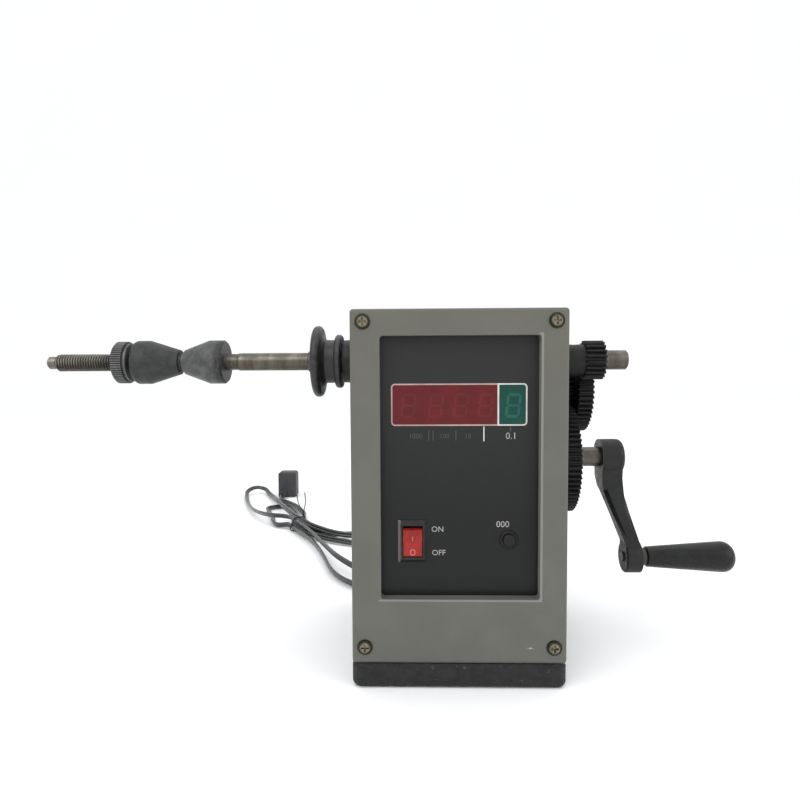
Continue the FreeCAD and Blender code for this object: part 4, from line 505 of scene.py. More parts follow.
def circuit_board():
    """Green circuit board with tracks showing faintly under its lacquer."""
    made = Shading("circuit_board", rough=0.35)
    tracks = made.add("ShaderNodeTexBrick")
    made.feed(tracks.inputs["Vector"], made.place)
    for name, value in (("Scale", 260.0), ("Color1", (0.010, 0.085, 0.035)),
                        ("Color2", (0.012, 0.11, 0.05)), ("Mortar", (0.03, 0.19, 0.085))):
        made.feed(tracks.inputs[name], value)
    grime = made.ramp(made.noise(6 * MM, 4), 0.35, 0.75, 0.0, 0.4)
    made.surface("Base Color", made.blend(grime, tracks.outputs["Color"], (0.010, 0.05, 0.025)))
    made.bump(tracks.outputs["Fac"], 0.03 * MM)
    return made.material


def paper_sweep(studio):
    made = Shading("paper_sweep", rough=0.9)
    made.surface("Base Color", made.blend(
        made.ramp(made.noise(0.4, 3), 0.3, 0.7), shade(studio.floor, 0.985), studio.floor))
    made.bump(made.noise(1.5 * MM, 2), 0.01 * MM)
    return made.material


def dress(material, *nodes):
    """Give carried-over CAD nodes a finish."""
    for node in nodes:
        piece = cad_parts[node]
        if not piece.material_slots:
            piece.data.materials.append(material)
        for place in piece.material_slots:
            place.material = material


# Mesh making.

def show(piece):
    bpy.context.scene.collection.objects.link(piece)
    return piece


def as_object(name, drawing, material):
    """Put a finished bmesh into the scene, as an object with one material."""
    mesh = bpy.data.meshes.new(name)
    drawing.to_mesh(mesh)
    drawing.free()
    mesh.materials.append(material)
    return show(bpy.data.objects.new(name, mesh))


def new_piece(name, drawing, material, body, replaced=(), sharp=math.radians(32)):
    """Turn a bmesh into a piece that rides on a CAD body."""
    bmesh.ops.recalc_face_normals(drawing, faces=drawing.faces)
    for face in drawing.faces:
        face.smooth = True
    for edge in drawing.edges:
        edge.smooth = len(edge.link_faces) == 2 and edge.calc_face_angle(0.0) < sharp
    piece = as_object(name, drawing, material)
    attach(piece, body)
    if replaced:
        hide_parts(*replaced)
    return piece


def skin(drawing, first, second):
    """Faces between two rings of as many points; a ring of one point closes the other."""
    count = max(len(first), len(second))
    for step in range(count):
        after = (step + 1) % count
        corners = [first[step % len(first)], first[after % len(first)],
                   second[after % len(second)], second[step % len(second)]]
        drawing.faces.new(list(dict.fromkeys(corners)))


def turn(drawing, profile, sides, centre, axis="X", closed=False, radius_at=None):
    """Rings of (place, radius) turned round an axis through centre.

    radius_at gives the radius at a place and angle where a ring isn't round.
    """
    rings = []
    for place, radius in profile:
        ring = []
        for step in range(sides if radius > 0 else 1):
            angle = math.tau * step / sides
            size = radius_at(place, angle, radius) if radius_at else radius
            across, up = size * math.cos(angle), size * math.sin(angle)
            spot = (place, centre[0] + across, centre[1] + up) if axis == "X" else (
                centre[0] + across, place, centre[1] + up)
            ring.append(drawing.verts.new(spot))
        rings.append(ring)
    pairs = list(zip(rings, rings[1:])) + ([(rings[-1], rings[0])] if closed else [])
    for first, second in pairs:
        skin(drawing, first, second)


def plate(drawing, outline, front, back, holes=()):
    """A flat piece facing the front. The outline, and a hole with as many points, are (x, z)."""
    loops = [outline, *holes]
    faces = []
    for depth in (front, back):
        faces.append([[drawing.verts.new((x, depth, z)) for x, z in loop] for loop in loops])
    for loop_front, loop_back in zip(*faces):
        skin(drawing, loop_front, loop_back)
    for side in faces:
        if holes:
            skin(drawing, *side)
        else:
            drawing.faces.new(side[0])


def rounded_box(left, right, low, high, corner, steps=6):
    """A rounded rectangle's outline as (x, z) points, anticlockwise from its lower right corner."""
    points = []
    centres = [(right - corner, low + corner, -90), (right - corner, high - corner, 0),
               (left + corner, high - corner, 90), (left + corner, low + corner, 180)]
    for x, z, first in centres:
        for step in range(steps + 1):
            angle = math.radians(first + 90 * step / steps)
            points.append((x + corner * math.cos(angle), z + corner * math.sin(angle)))
    return points


def upright(x, low, high, width):
    """The outline of an upright bar, given in millimetres."""
    corners = ((-1, low), (1, low), (1, high), (-1, high))
    return [((x + side * width / 2) * MM, z * MM) for side, z in corners]


# height of a figure in the built-in type, as a share of the type's size
FIGURE_SHARE = 0.69


def write(drawing, words, height, middle, front, depth):
    """Figures in the built-in type, standing on the panel with their middle at (x, z)."""
    text = bpy.data.curves.new("words", "FONT")
    text.body = words
    text.size = height / FIGURE_SHARE
    text.align_x = "CENTER"
    text.align_y = "CENTER"
    text.extrude = depth / 2
    text.resolution_u = 3
    holder = show(bpy.data.objects.new("words", text))
    bpy.context.view_layer.update()
    mesh = bpy.data.meshes.new_from_object(holder)
    place = Matrix.Translation((middle[0], front - depth / 2, middle[1]))
    mesh.transform(place @ Matrix.Rotation(math.pi / 2, 4, "X"))
    drawing.from_mesh(mesh)
    bpy.data.objects.remove(holder)
    bpy.data.curves.remove(text)
    bpy.data.meshes.remove(mesh)


def wire(name, points, radius, material, closed=False):
    """A smooth round wire through its control points, as a curve object."""
    curve = bpy.data.curves.new(name, "CURVE")
    curve.dimensions = "3D"
    curve.bevel_depth = radius
    curve.bevel_resolution = 4
    curve.resolution_u = 10
    curve.use_fill_caps = True
    spline = curve.splines.new("NURBS")
    spline.points.add(len(points) - 1)
    for point, spot in zip(spline.points, points):
        point.co = (*spot, 1.0)
    spline.order_u = 3
    spline.use_endpoint_u = not closed
    spline.use_cyclic_u = closed
    curve.materials.append(material)
    return show(bpy.data.objects.new(name, curve))


def follow(line):
    """Points along a bare curve, after which the curve is no longer needed."""
    mesh = bpy.data.meshes.new_from_object(line)
    points = [vertex.co.copy() for vertex in mesh.vertices]
    bpy.data.meshes.remove(mesh)
    bpy.data.curves.remove(line.data)
    return points


# The mains lead's route, repeated from the part's source in millimetres. The waist is where the
# tie holds the hank: its strands lie there as (places to the side, layer).

LEAD_POINTS = [
    (35, 88, 34), (35, 108, 32), (38, 130, 21), (44, 152, 8.5), (43, 174, 3.1), (30, 193, 3.0),
    (8, 204, 3.0), (-18, 207, 3.0), (-45, 204.5, 4.4),
]
PLUG_POINTS = [
    (-144, 316, 3.0), (-155, 341, 3.0), (-172, 359, 3.1), (-188, 373, 4.6), (-189, 392, 5.5),
]
CORD_FLOOR = 3.0
TIE_PLACE = (-139.0, 245.0)
WAIST_ANGLE = 120.0
WAIST_PITCH = 6.5
WAIST_LOW, WAIST_RISE = 4.6, 6.2
WAIST_STRAIGHT = 9.0
WAIST_STRANDS = {
    "outer_low": (-1.0, 0), "inner_low": (-0.5, 1), "inner_high": (0.0, 0), "lead": (0.5, 1),
    "outer_high": (1.0, 0),
}

# The route's points that were moved to lie as in the photograph, by number, and the rounder,
# lifted tip of the big loop.
HAND_MOVED = {
    15: (-172.1, 319.9, 9.6), 16: (-188.4, 356.4, 9.0), 21: (-234.5, 397.5, 3.6),
    22: (-221.0, 356.0, 3.1), 23: (-202.0, 310.0, 5.6), 65: (-148.0, 314.0, 3.0),
    66: (-158.5, 340.0, 3.0),
}
BIG_LOOP_TIP = [(-217.0, 430.5, 6.2), (-230.6, 431.0, 9.0), (-238.6, 419.0, 6.2)]
BIG_LOOP_PLACE = slice(19, 21)
# straight runs into the hank's first strand and out of its last
RUN_IN, RUN_OUT = 12, 11


def heading(degrees):
    return Vector((math.cos(math.radians(degrees)), math.sin(math.radians(degrees)), 0.0))


def bend_corners(start, start_way, end, end_way):
    """The corners of two tangent arcs that leave start and reach end along the headings."""
    span = end - start
    along = span.dot(start_way + end_way)
    turn_share = 1.0 - start_way.dot(end_way)
    if turn_share < 1e-9:
        leg = span.dot(span) / (2 * along)
    else:
        root = math.sqrt(along * along + 2 * turn_share * span.dot(span))
        leg = (root - along) / (2 * turn_share)
    return start + start_way * leg, end - end_way * leg


def waist_spot(shift, level):
    """A place in the plane across the tie: shift across the strands, level above the bench."""
    return Vector((*TIE_PLACE, level)) + heading(WAIST_ANGLE - 90) * shift


def lobe(centre, lean, half_length, half_width):
    """Stations round the far side of one lobe of the hank, anticlockwise from its right side."""
    along, across = heading(lean), heading(lean + 90)
    middle = Vector((*centre, CORD_FLOOR))
    return [(middle - across * half_width, along), (middle + along * half_length, across),
            (middle + across * half_width, -along)]


def hank_stations():
    """Every station of the hank as (place, heading), from the machine's lead to the plug's lead."""
    out = heading(WAIST_ANGLE)
    top = WAIST_LOW + WAIST_RISE

    def through(strand, way):
        shift, layer = WAIST_STRANDS[strand]
        spot = waist_spot(shift * WAIST_PITCH, WAIST_LOW + layer * WAIST_RISE)
        return [(spot - way * WAIST_STRAIGHT, way), (spot + way * WAIST_STRAIGHT, way)]

    big = [(place + Vector((0, 0, lift)), way)
           for (place, way), lift in zip(lobe((-216, 394), 117, 36, 13.5), (1.6, 0.4, 0.2))]
    return (
        [(Vector((-76, 202, top - 3.0)), heading(179))] + through("lead", out)
        + [(Vector((-182, 342, top - 0.3)), heading(114))] + big
        + [(Vector((-186, 283, top - 0.6)), heading(302))] + through("inner_low", -out)
        + [(Vector((-94, 148, top - 2.0)), heading(-66))] + lobe((-22, 136), 0, 50, 44)
        + through("inner_high", out) + lobe((-167, 304), 112, 40, 13.5)
        + [(Vector((-167, 261, CORD_FLOOR)), heading(-62))] + through("outer_low", -out)
        + lobe((-18, 150), 0, 80, 79) + through("outer_high", out)
        + [(Vector((-142.5, 288, CORD_FLOOR + 0.3)), heading(91))])


def lead_route():
    """The whole lead's points in metres: from the strain relief, through the hank, to the plug."""
    stations = hank_stations()
    first, way = stations[0]
    points = [Vector(point) for point in LEAD_POINTS] + [first - way * RUN_IN]
    for (start, start_way), (end, end_way) in zip(stations, stations[1:]):
        points.extend(bend_corners(start, start_way, end, end_way))
    last, way = stations[-1]
    points.append(last + way * RUN_OUT)
    points.extend(Vector(point) for point in PLUG_POINTS)
    for place, moved in HAND_MOVED.items():
        points[place] = Vector(moved)
    points[BIG_LOOP_PLACE] = [Vector(point) for point in BIG_LOOP_TIP]
    return [point * MM for point in points]


# The steps, one operator for each.

class WinderStep:
    bl_options = {"REGISTER", "UNDO"}


class WINDER_OT_studio(WinderStep, bpy.types.Operator):
    """Pale paper sweep, soft boxes, daylight and the camera that took the photograph"""
    bl_idname = "winder.studio"
    bl_label = "Studio"

    def execute(self, context):
        studio = settings()[2]
        self.sweep(studio)
        self.lights(context, studio)
        self.camera(context, studio)
        context.scene.view_settings.view_transform = "Standard"
        return {"FINISHED"}

    def sweep(self, studio):
        """Floor that curves up behind the machine."""
        drawing = bmesh.new()
        half, front, back, rise, bend, steps = 5.0, -4.0, 2.6, 3.0, 1.2, 16
        line = [(front, 0.0)]
        for step in range(steps + 1):
            angle = math.pi / 2 * step / steps
            line.append((back + bend * math.sin(angle), bend - bend * math.cos(angle)))
        line.append((back + bend, rise))
        rows = [[drawing.verts.new((side * half, y, z)) for side in (-1, 1)] for y, z in line]
        for first, second in zip(rows, rows[1:]):
            drawing.faces.new([first[0], first[1], second[1], second[0]])
        for face in drawing.faces:
            face.smooth = True
        as_object("paper_sweep", drawing, paper_sweep(studio))

    def lights(self, context, studio):
        world = bpy.data.worlds.new("daylight")
        world.use_nodes = True
        sky = world.node_tree.nodes["Background"]
        sky.inputs["Color"].default_value = (0.97, 0.985, 1.0, 1.0)
        sky.inputs["Strength"].default_value = studio.daylight
        context.scene.world = world
        aim = Vector((0.0, 0.0, 0.12))
        for name, place, watts, size in (
                ("key_box", (-0.55, -0.75, 1.05), studio.key_power, 0.9),
                ("fill_box", (0.85, -0.55, 0.55), studio.fill_power, 0.8),
                ("top_box", (0.05, 0.25, 1.2), studio.fill_power, 1.0)):
            lamp = bpy.data.lights.new(name, "AREA")
            lamp.energy = watts
            lamp.size = size
            box = show(bpy.data.objects.new(name, lamp))
            box.location = place
            box.rotation_euler = (aim - Vector(place)).to_track_quat("-Z", "Y").to_euler()

    def camera(self, context, studio):
        lens = bpy.data.cameras.new("camera")
        lens.sensor_width = 36.0
        lens.lens = studio.lens
        lens.clip_start = 0.01
        lens.clip_end = 50.0
        camera = show(bpy.data.objects.new("camera", lens))
        turned = Matrix.Rotation(studio.camera_yaw, 4, "Z")
        for angle, axis in ((-studio.camera_pitch, "X"), (studio.camera_roll, "Y"),
                            (math.pi / 2, "X")):
            turned = turned @ Matrix.Rotation(angle, 4, axis)
        camera.matrix_world = Matrix.Translation(studio.camera_place) @ turned
        context.scene.camera = camera


class WINDER_OT_mains_lead(WinderStep, bpy.types.Operator):
    """Two-core lead from the strain relief through its tied hank to the plug"""
    bl_idname = "winder.mains_lead"
    bl_label = "Mains lead, tie and plug"

    # how far the flat lead leans over as it lies, in degrees, and its slow waves to each side, as
    # (degrees, metres of lead to a radian, start)
    lean = 52
    waves = ((16, 0.11, 0), (8, 0.047, 1))

    def execute(self, context):
        sizes, finish, _ = settings()
        sheath = moulded_plastic("lead_sheath", shade(finish.lead, 0.35), 0.28, 0.8, 0.2, 0.8)
        route = lead_route()
        path = follow(wire("route", route, 0.0, sheath))
        lead = self.flex(sizes, path, sheath)
        tie = self.tie(sizes)
        self.strain_relief(sizes, finish)
        dress(moulded_plastic("plug_rubber", finish.lead, 0.5, 0.7, 0.5), "plug_body")
        dress(turned_metal("pin_brass", (0.50, 0.40, 0.22), 0.3, axis="Y"), "plug_pins")
        return {"FINISHED"}

    def flex(self, sizes, path, sheath):
        """Flat two-core lead: two round cores side by side, slowly twisting as it lies."""
        core = sizes.core_diameter / 2
        apart = sizes.cord_diameter / 2 - core
        meet, steps = math.acos(-apart / core), 9
        section = []
        for side in (1, -1):
            for step in range(steps):
                angle = -meet + 2 * meet * step / steps
                section.append((side * (apart + core * math.cos(angle)),
                                side * core * math.sin(angle)))
        drawing = bmesh.new()
        rings, gone = [], 0.0
        for number, spot in enumerate(path):
            before, after = path[max(number - 1, 0)], path[min(number + 1, len(path) - 1)]
            way = (after - before).normalized()
            gone += (spot - before).length
            roll = math.radians(sum((size * math.sin(gone / slow + start)
                                     for size, slow, start in self.waves), self.lean))
            across = way.cross(Vector((0, 0, 1))).normalized()
            high = across.cross(way)
            first = across * math.cos(roll) + high * math.sin(roll)
            second = way.cross(first)
            rings.append([drawing.verts.new(spot + first * x + second * y) for x, y in section])
        for one, two in zip(rings, rings[1:]):
            skin(drawing, one, two)
        drawing.faces.new(rings[0])
        drawing.faces.new(rings[-1])
        return new_piece("mains_lead", drawing, sheath, "frame",
                         ("cord_lead", "cord_hank", "plug_lead"), sharp=math.radians(60))

    def tie(self, sizes):
        """Twisted wire tie: a snug band round the strands, and two loose ends wound together."""
        coat = moulded_plastic("tie_coat", (0.018, 0.018, 0.02), 0.4, 0.4, 0.1)
        radius = sizes.tie_wire / 2
        reach = sizes.cord_diameter / 2 / MM + 0.75
        high = WAIST_LOW + WAIST_RISE
        hubs = [(-WAIST_PITCH, WAIST_LOW), (WAIST_PITCH, WAIST_LOW), (WAIST_PITCH / 2, high),
                (-WAIST_PITCH / 2, high)]      # the strands that the band bends round
        ring = []
        for (shift, level), first in zip(hubs, (180, 270, 20, 110)):
            for step in range(4):
                angle = math.radians(first + step * 30)
                ring.append(waist_spot(shift + reach * math.cos(angle),
                                       level + reach * math.sin(angle)) * MM)
        band = wire("hank_tie_band", ring, radius, coat, closed=True)
        root = waist_spot(WAIST_PITCH / 2 + 1.2, high + reach + 0.4)
        along, across, up = heading(WAIST_ANGLE), heading(WAIST_ANGLE - 90), Vector((0, 0, 1))
        ends = []
        for number, tip in enumerate(((-10, 16, 20), (0, 9, 24))):
            tip = Vector(tip)
            way = tip.normalized()
            points = [root - across * (2.0 - 4.0 * number) - up * 0.6]
            for step in range(7):
                angle = math.pi * number + step * 1.25
                twist = (across * math.cos(angle) + along * math.sin(angle)) * 0.62
                points.append(root + (up * 0.9 + way * 0.3).normalized() * (0.7 * step) + twist)
            bend = root + tip * 0.55 + (across if number else -across) * 1.8
            points = [point * MM for point in (*points, bend, root + tip * 0.93)]
            ends.append(wire(f"hank_tie_end_{number + 1}", points, radius * 0.9, coat))
        for piece in (band, *ends):
            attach(piece, "frame")
        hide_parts("hank_tie")
        for end in ends:
            keep = end.matrix_world.copy()
            end.parent = band
            end.matrix_world = keep
        return band

    def strain_relief(self, sizes, finish):
        """Tapered sleeve with flexing slots round it, outside the back cover."""
        low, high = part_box("cord_gland")
        middle = (low + high) / 2
        flange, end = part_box("rear_cover")[1].y, high.y
        tip, sleeve = sizes.cord_diameter / 2 + 0.8 * MM, 6.5 * MM
        profile = [(low.y, 0.0), (low.y, 6 * MM)]
        profile += [(flange + place * MM, radius * MM) for place, radius in (
            (0.02, 6), (0.02, 7.6), (0.4, 8), (2.0, 8), (2.4, 7.7), (3.2, 6.5))]
        start, count = flange + 4.2 * MM, 7
        step = (end - start) / count
        for number in range(count):
            for share, depth in ((0.0, 0.0), (0.50, 0.0), (0.56, 0.9), (0.92, 0.9), (0.98, 0.0)):
                place = start + step * (number + share)
                taper = sleeve + (tip - sleeve) * (place - start) / (end - start)
                profile.append((place, max(taper - depth * MM, tip - 0.3 * MM)))
        profile += [(end, tip - 0.2 * MM), (end, 0.0)]
        drawing = bmesh.new()
        turn(drawing, profile, 40, (middle.x, middle.z), axis="Y")
        rubber = moulded_plastic("relief_rubber", finish.black_plastic, 0.5, 0.6, 0.2)
        return new_piece("strain_relief", drawing, rubber, "frame", ("cord_gland",))


class WINDER_OT_castings(WinderStep, bpy.types.Operator):
    """Chipped black paint on the cast base, the housing frame and its bosses"""
    bl_idname = "winder.castings"
    bl_label = "Castings"

    def execute(self, context):
        finish = settings()[1]
        dress(rough_casting(finish), "base_casting")
        dress(painted_casting(finish).material, "frame_casting")
        dress(turned_metal("bronze", (0.50, 0.33, 0.16), 0.35),
              "spindle_bushes", "crank_bushes", "idler_bush")
        dress(turned_metal("frame_screw_steel", (0.10, 0.10, 0.10), 0.4, metal=0.8),
              "frame_screws")
        return {"FINISHED"}


class WINDER_OT_covers(WinderStep, bpy.types.Operator):
    """Grey enamel covers and their dirty zinc screws"""
    bl_idname = "winder.covers"
    bl_label = "Covers"

    def execute(self, context):
        finish = settings()[1]
        dress(grey_enamel(finish), "front_cover", "rear_cover")
        dress(zinc_screws(), "front_cover_screws", "rear_cover_screws")
        return {"FINISHED"}


class WINDER_OT_panel(WinderStep, bpy.types.Operator):
    """Control panel with its display windows, unlit numerals and printing"""
    bl_idname = "winder.panel"
    bl_label = "Control panel"

    # middles of the numerals and of the joints between them, in millimetres, read off the
    # photograph
    count_places = (-25.6, -11.4, 1.3, 14.0)
    preset_place = 28.0
    joint_places = (-18.3, -13.9, -11.0, 7.6)
    numeral_level = 145.4
    # how far the numerals and joints are sunk into the window's face
    sunk = 0.02

    def execute(self, context):
        sizes, finish, _ = settings()
        dress(panel_black(finish), "control_panel")
        dress(display_window("counter_acrylic", finish.red_window), "counter_window")
        dress(display_window("preset_acrylic", finish.green_window), "preset_window")
        dress(moulded_plastic("module_plastic", (0.05, 0.05, 0.052), 0.5),
              "counter_digits", "preset_digit")
        self.numerals(sizes, "counter_numerals", self.count_places,
                      display_window("unlit_red", (0.104, 0.0095, 0.0120)), "red_window")
        self.numerals(sizes, "preset_numeral", (self.preset_place,),
                      display_window("unlit_green", (0.006, 0.080, 0.058)), "green_window")
        self.seams(finish)
        self.printing(sizes, finish)
        return {"FINISHED"}

    def numerals(self, sizes, name, places, material, slot):
        """Seven-segment figures, all segments showing faintly behind the window."""
        drawing = bmesh.new()
        half, width = sizes.numeral_height / 2, sizes.segment_width
        reach = 3.5 * MM
        lean = math.tan(sizes.numeral_slant)
        gap = 0.22 * MM
        spots = [(-reach, half), (reach, half), (reach, 0.0), (-reach, 0.0), (-reach, -half),
                 (reach, -half)]
        runs = [(0, 1), (3, 2), (4, 5), (0, 3), (3, 4), (1, 2), (2, 5)]
        for place in places:
            for first, second in runs:
                start, end = Vector(spots[first]), Vector(spots[second])
                way = (end - start).normalized()
                side, point_in = Vector((-way.y, way.x)) * (width / 2), way * (width / 2)
                start, end = start + way * gap, end - way * gap
                points = [start, start + point_in - side, end - point_in - side, end,
                          end - point_in + side, start + point_in + side]
                points = [point * (1 - width / 2 / half) for point in points]
                outline = [(place * MM + point.x + point.y * lean,
                            self.numeral_level * MM + point.y) for point in points]
                plate(drawing, outline, PANEL_FACE - 0.03 * MM, PANEL_FACE + self.sunk * MM)
        return new_piece(name, drawing, material, "frame")

    def seams(self, finish):
        """Dark joints between the numeral modules, seen through the red window."""
        drawing = bmesh.new()
        reach, width = 8.6, 0.36
        for place in self.joint_places:
            outline = upright(place, self.numeral_level - reach, self.numeral_level + reach, width)
            plate(drawing, outline, PANEL_FACE - 0.025 * MM, PANEL_FACE + self.sunk * MM)
        dark = display_window("module_joint", shade(finish.red_window, 0.85))
        return new_piece("module_joints", drawing, dark, "frame")

    def printing(self, sizes, finish):
        """White outline round the windows, pointer lines, and figures in the words' places."""
        front, depth, line = PANEL_FACE, sizes.print_depth, sizes.frame_line
        left, right, low, high = WINDOW_LOW.x, WINDOW_HIGH.x, WINDOW_LOW.z, WINDOW_HIGH.z
        white, faint, pink, label = (bmesh.new() for _ in range(4))
        # the outline's two halves meet between the windows, where each is cut off
        split, overlap = 20.4 * MM, 3 * MM
        for drawing, first, last, limit, trims in (
                (pink, left, split + overlap, min, (-0.5, -0.75)),
                (white, split - overlap, right, max, (-0.5, 0.5))):
            loops = []
            for share, corner, trim in zip((0.7, -0.3), (2.0, 1.4), trims):
                grow = line * share
                loop = rounded_box(first - grow, last + grow, low - grow, high + grow, corner * MM)
                loops.append([(limit(x, split + line * trim), z) for x, z in loop])
            plate(drawing, loops[0], front - depth, front, [loops[1]])
        pointer_top, tick_low = low / MM - 0.9, 127.4
        bars = [(white, 13.0, 127.0, pointer_top, 0.6), (faint, 26.6, 132.2, pointer_top, 0.6)]
        bars += [(faint, x, tick_low, tick_low + 5.2, 0.4) for x in (-15.2, -13.0, -1.3)]
        for drawing, *bar in bars:
            plate(drawing, upright(*bar), front - depth, front)
        row = 129.6
        for drawing, words, share, x, z in (
                (faint, "1000", 0.72, -22.0, row), (faint, "100", 0.72, -7.2, row),
                (faint, "10", 0.72, 4.8, row), (label, "0.1", 1.0, 27.0, row),
                (label, "ON", 0.85, -10.8, 81.2), (label, "OFF", 0.85, -10.2, 68.9),
                (label, "000", 0.95, 22.8, 83.8)):
            write(drawing, words, sizes.print_height * share, (x * MM, z * MM), front, depth)
        for name, drawing, ink, tint in (
                ("panel_printing", white, "white_ink", finish.printing),
                ("panel_labels", label, "label_ink", shade(finish.printing, 0.62)),
                ("counter_outline", pink, "reddened_ink", (0.34, 0.25, 0.235)),
                ("panel_small_figures", faint, "worn_ink", (0.058, 0.058, 0.056))):
            new_piece(name, drawing, moulded_plastic(ink, tint, 0.6, 0.3, 0.3),
                      "frame")


class WINDER_OT_controls(WinderStep, bpy.types.Operator):
    """Rocker switch with its marks, and the reset button"""
    bl_idname = "winder.controls"
    bl_label = "Switch and button"

    def execute(self, context):
        finish = settings()[1]
        dress(self.bezel(finish), "switch_body")
        dress(moulded_plastic("button_plastic", shade(finish.black_plastic, 0.8), 0.4, 0.5, 0.3),
              "button_body", "reset_button")
        dress(moulded_plastic("rocker_plastic", finish.rocker, 0.30, 0.6, 0.05), "switch_rocker")
        self.marks()
        return {"FINISHED"}

    def bezel(self, finish):
        """The switch's frame, with painted light making its left bevel paler, where it faces the
        light.
        """
        made = Shading("switch_plastic", rough=0.36)
        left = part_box("switch_body")[0].x
        # painted light: the left bevel is paler, as it faces the light
        wear_and_light = made.ramp(made.along("X"), left + 0.8 * MM, left + 1.9 * MM, 1.0, 0.0)
        body = made.blend(made.ramp(made.noise(4 * MM, 4), 0.3, 0.7), finish.black_plastic,
                          shade(finish.black_plastic, 2.2))
        made.surface("Base Color", made.blend(wear_and_light, body, (0.16, 0.135, 0.13)))
        made.bump(made.noise(0.5 * MM, 2), 0.02 * MM)
        return made.material

    def marks(self):
        """A bar and a ring moulded proud of the rocker, the bar uppermost."""
        tilt = math.radians(9.0)      # of the rocker at rest, about its pin
        pin = Vector((middle_of("switch_rocker").x, PANEL_FACE + 2.4 * MM, 75.2 * MM))
        ink = moulded_plastic("rocker_ink", (0.42, 0.16, 0.13), 0.45, 0.4, 0.1)
        drawing = bmesh.new()
        turns = [math.tau * step / 28 for step in range(28)]
        bar = [upright(0.0, -1.35, 1.35, 0.44)]
        ring = [[(size * 0.9 * math.cos(angle) * MM, size * math.sin(angle) * MM)
                 for angle in turns] for size in (1.62, 1.22)]
        # each mark stands on one of the rocker's two faces, at a depth, level and lean from its pin
        for loops, depth, level, lean in ((bar, -3.80, 2.0, 3.2), (ring, -4.26, -5.2, -12.5)):
            part = bmesh.new()
            plate(part, loops[0], -0.05 * MM, 0.12 * MM, loops[1:])
            part.transform(
                Matrix.Translation(pin) @ Matrix.Rotation(tilt, 4, "X")
                @ Matrix.Translation((0, depth * MM, level * MM))
                @ Matrix.Rotation(math.radians(lean), 4, "X"))
            mesh = bpy.data.meshes.new("mark")
            part.to_mesh(mesh)
            part.free()
            drawing.from_mesh(mesh)
            bpy.data.meshes.remove(mesh)
        return new_piece("rocker_marks", drawing, ink, "rocker")


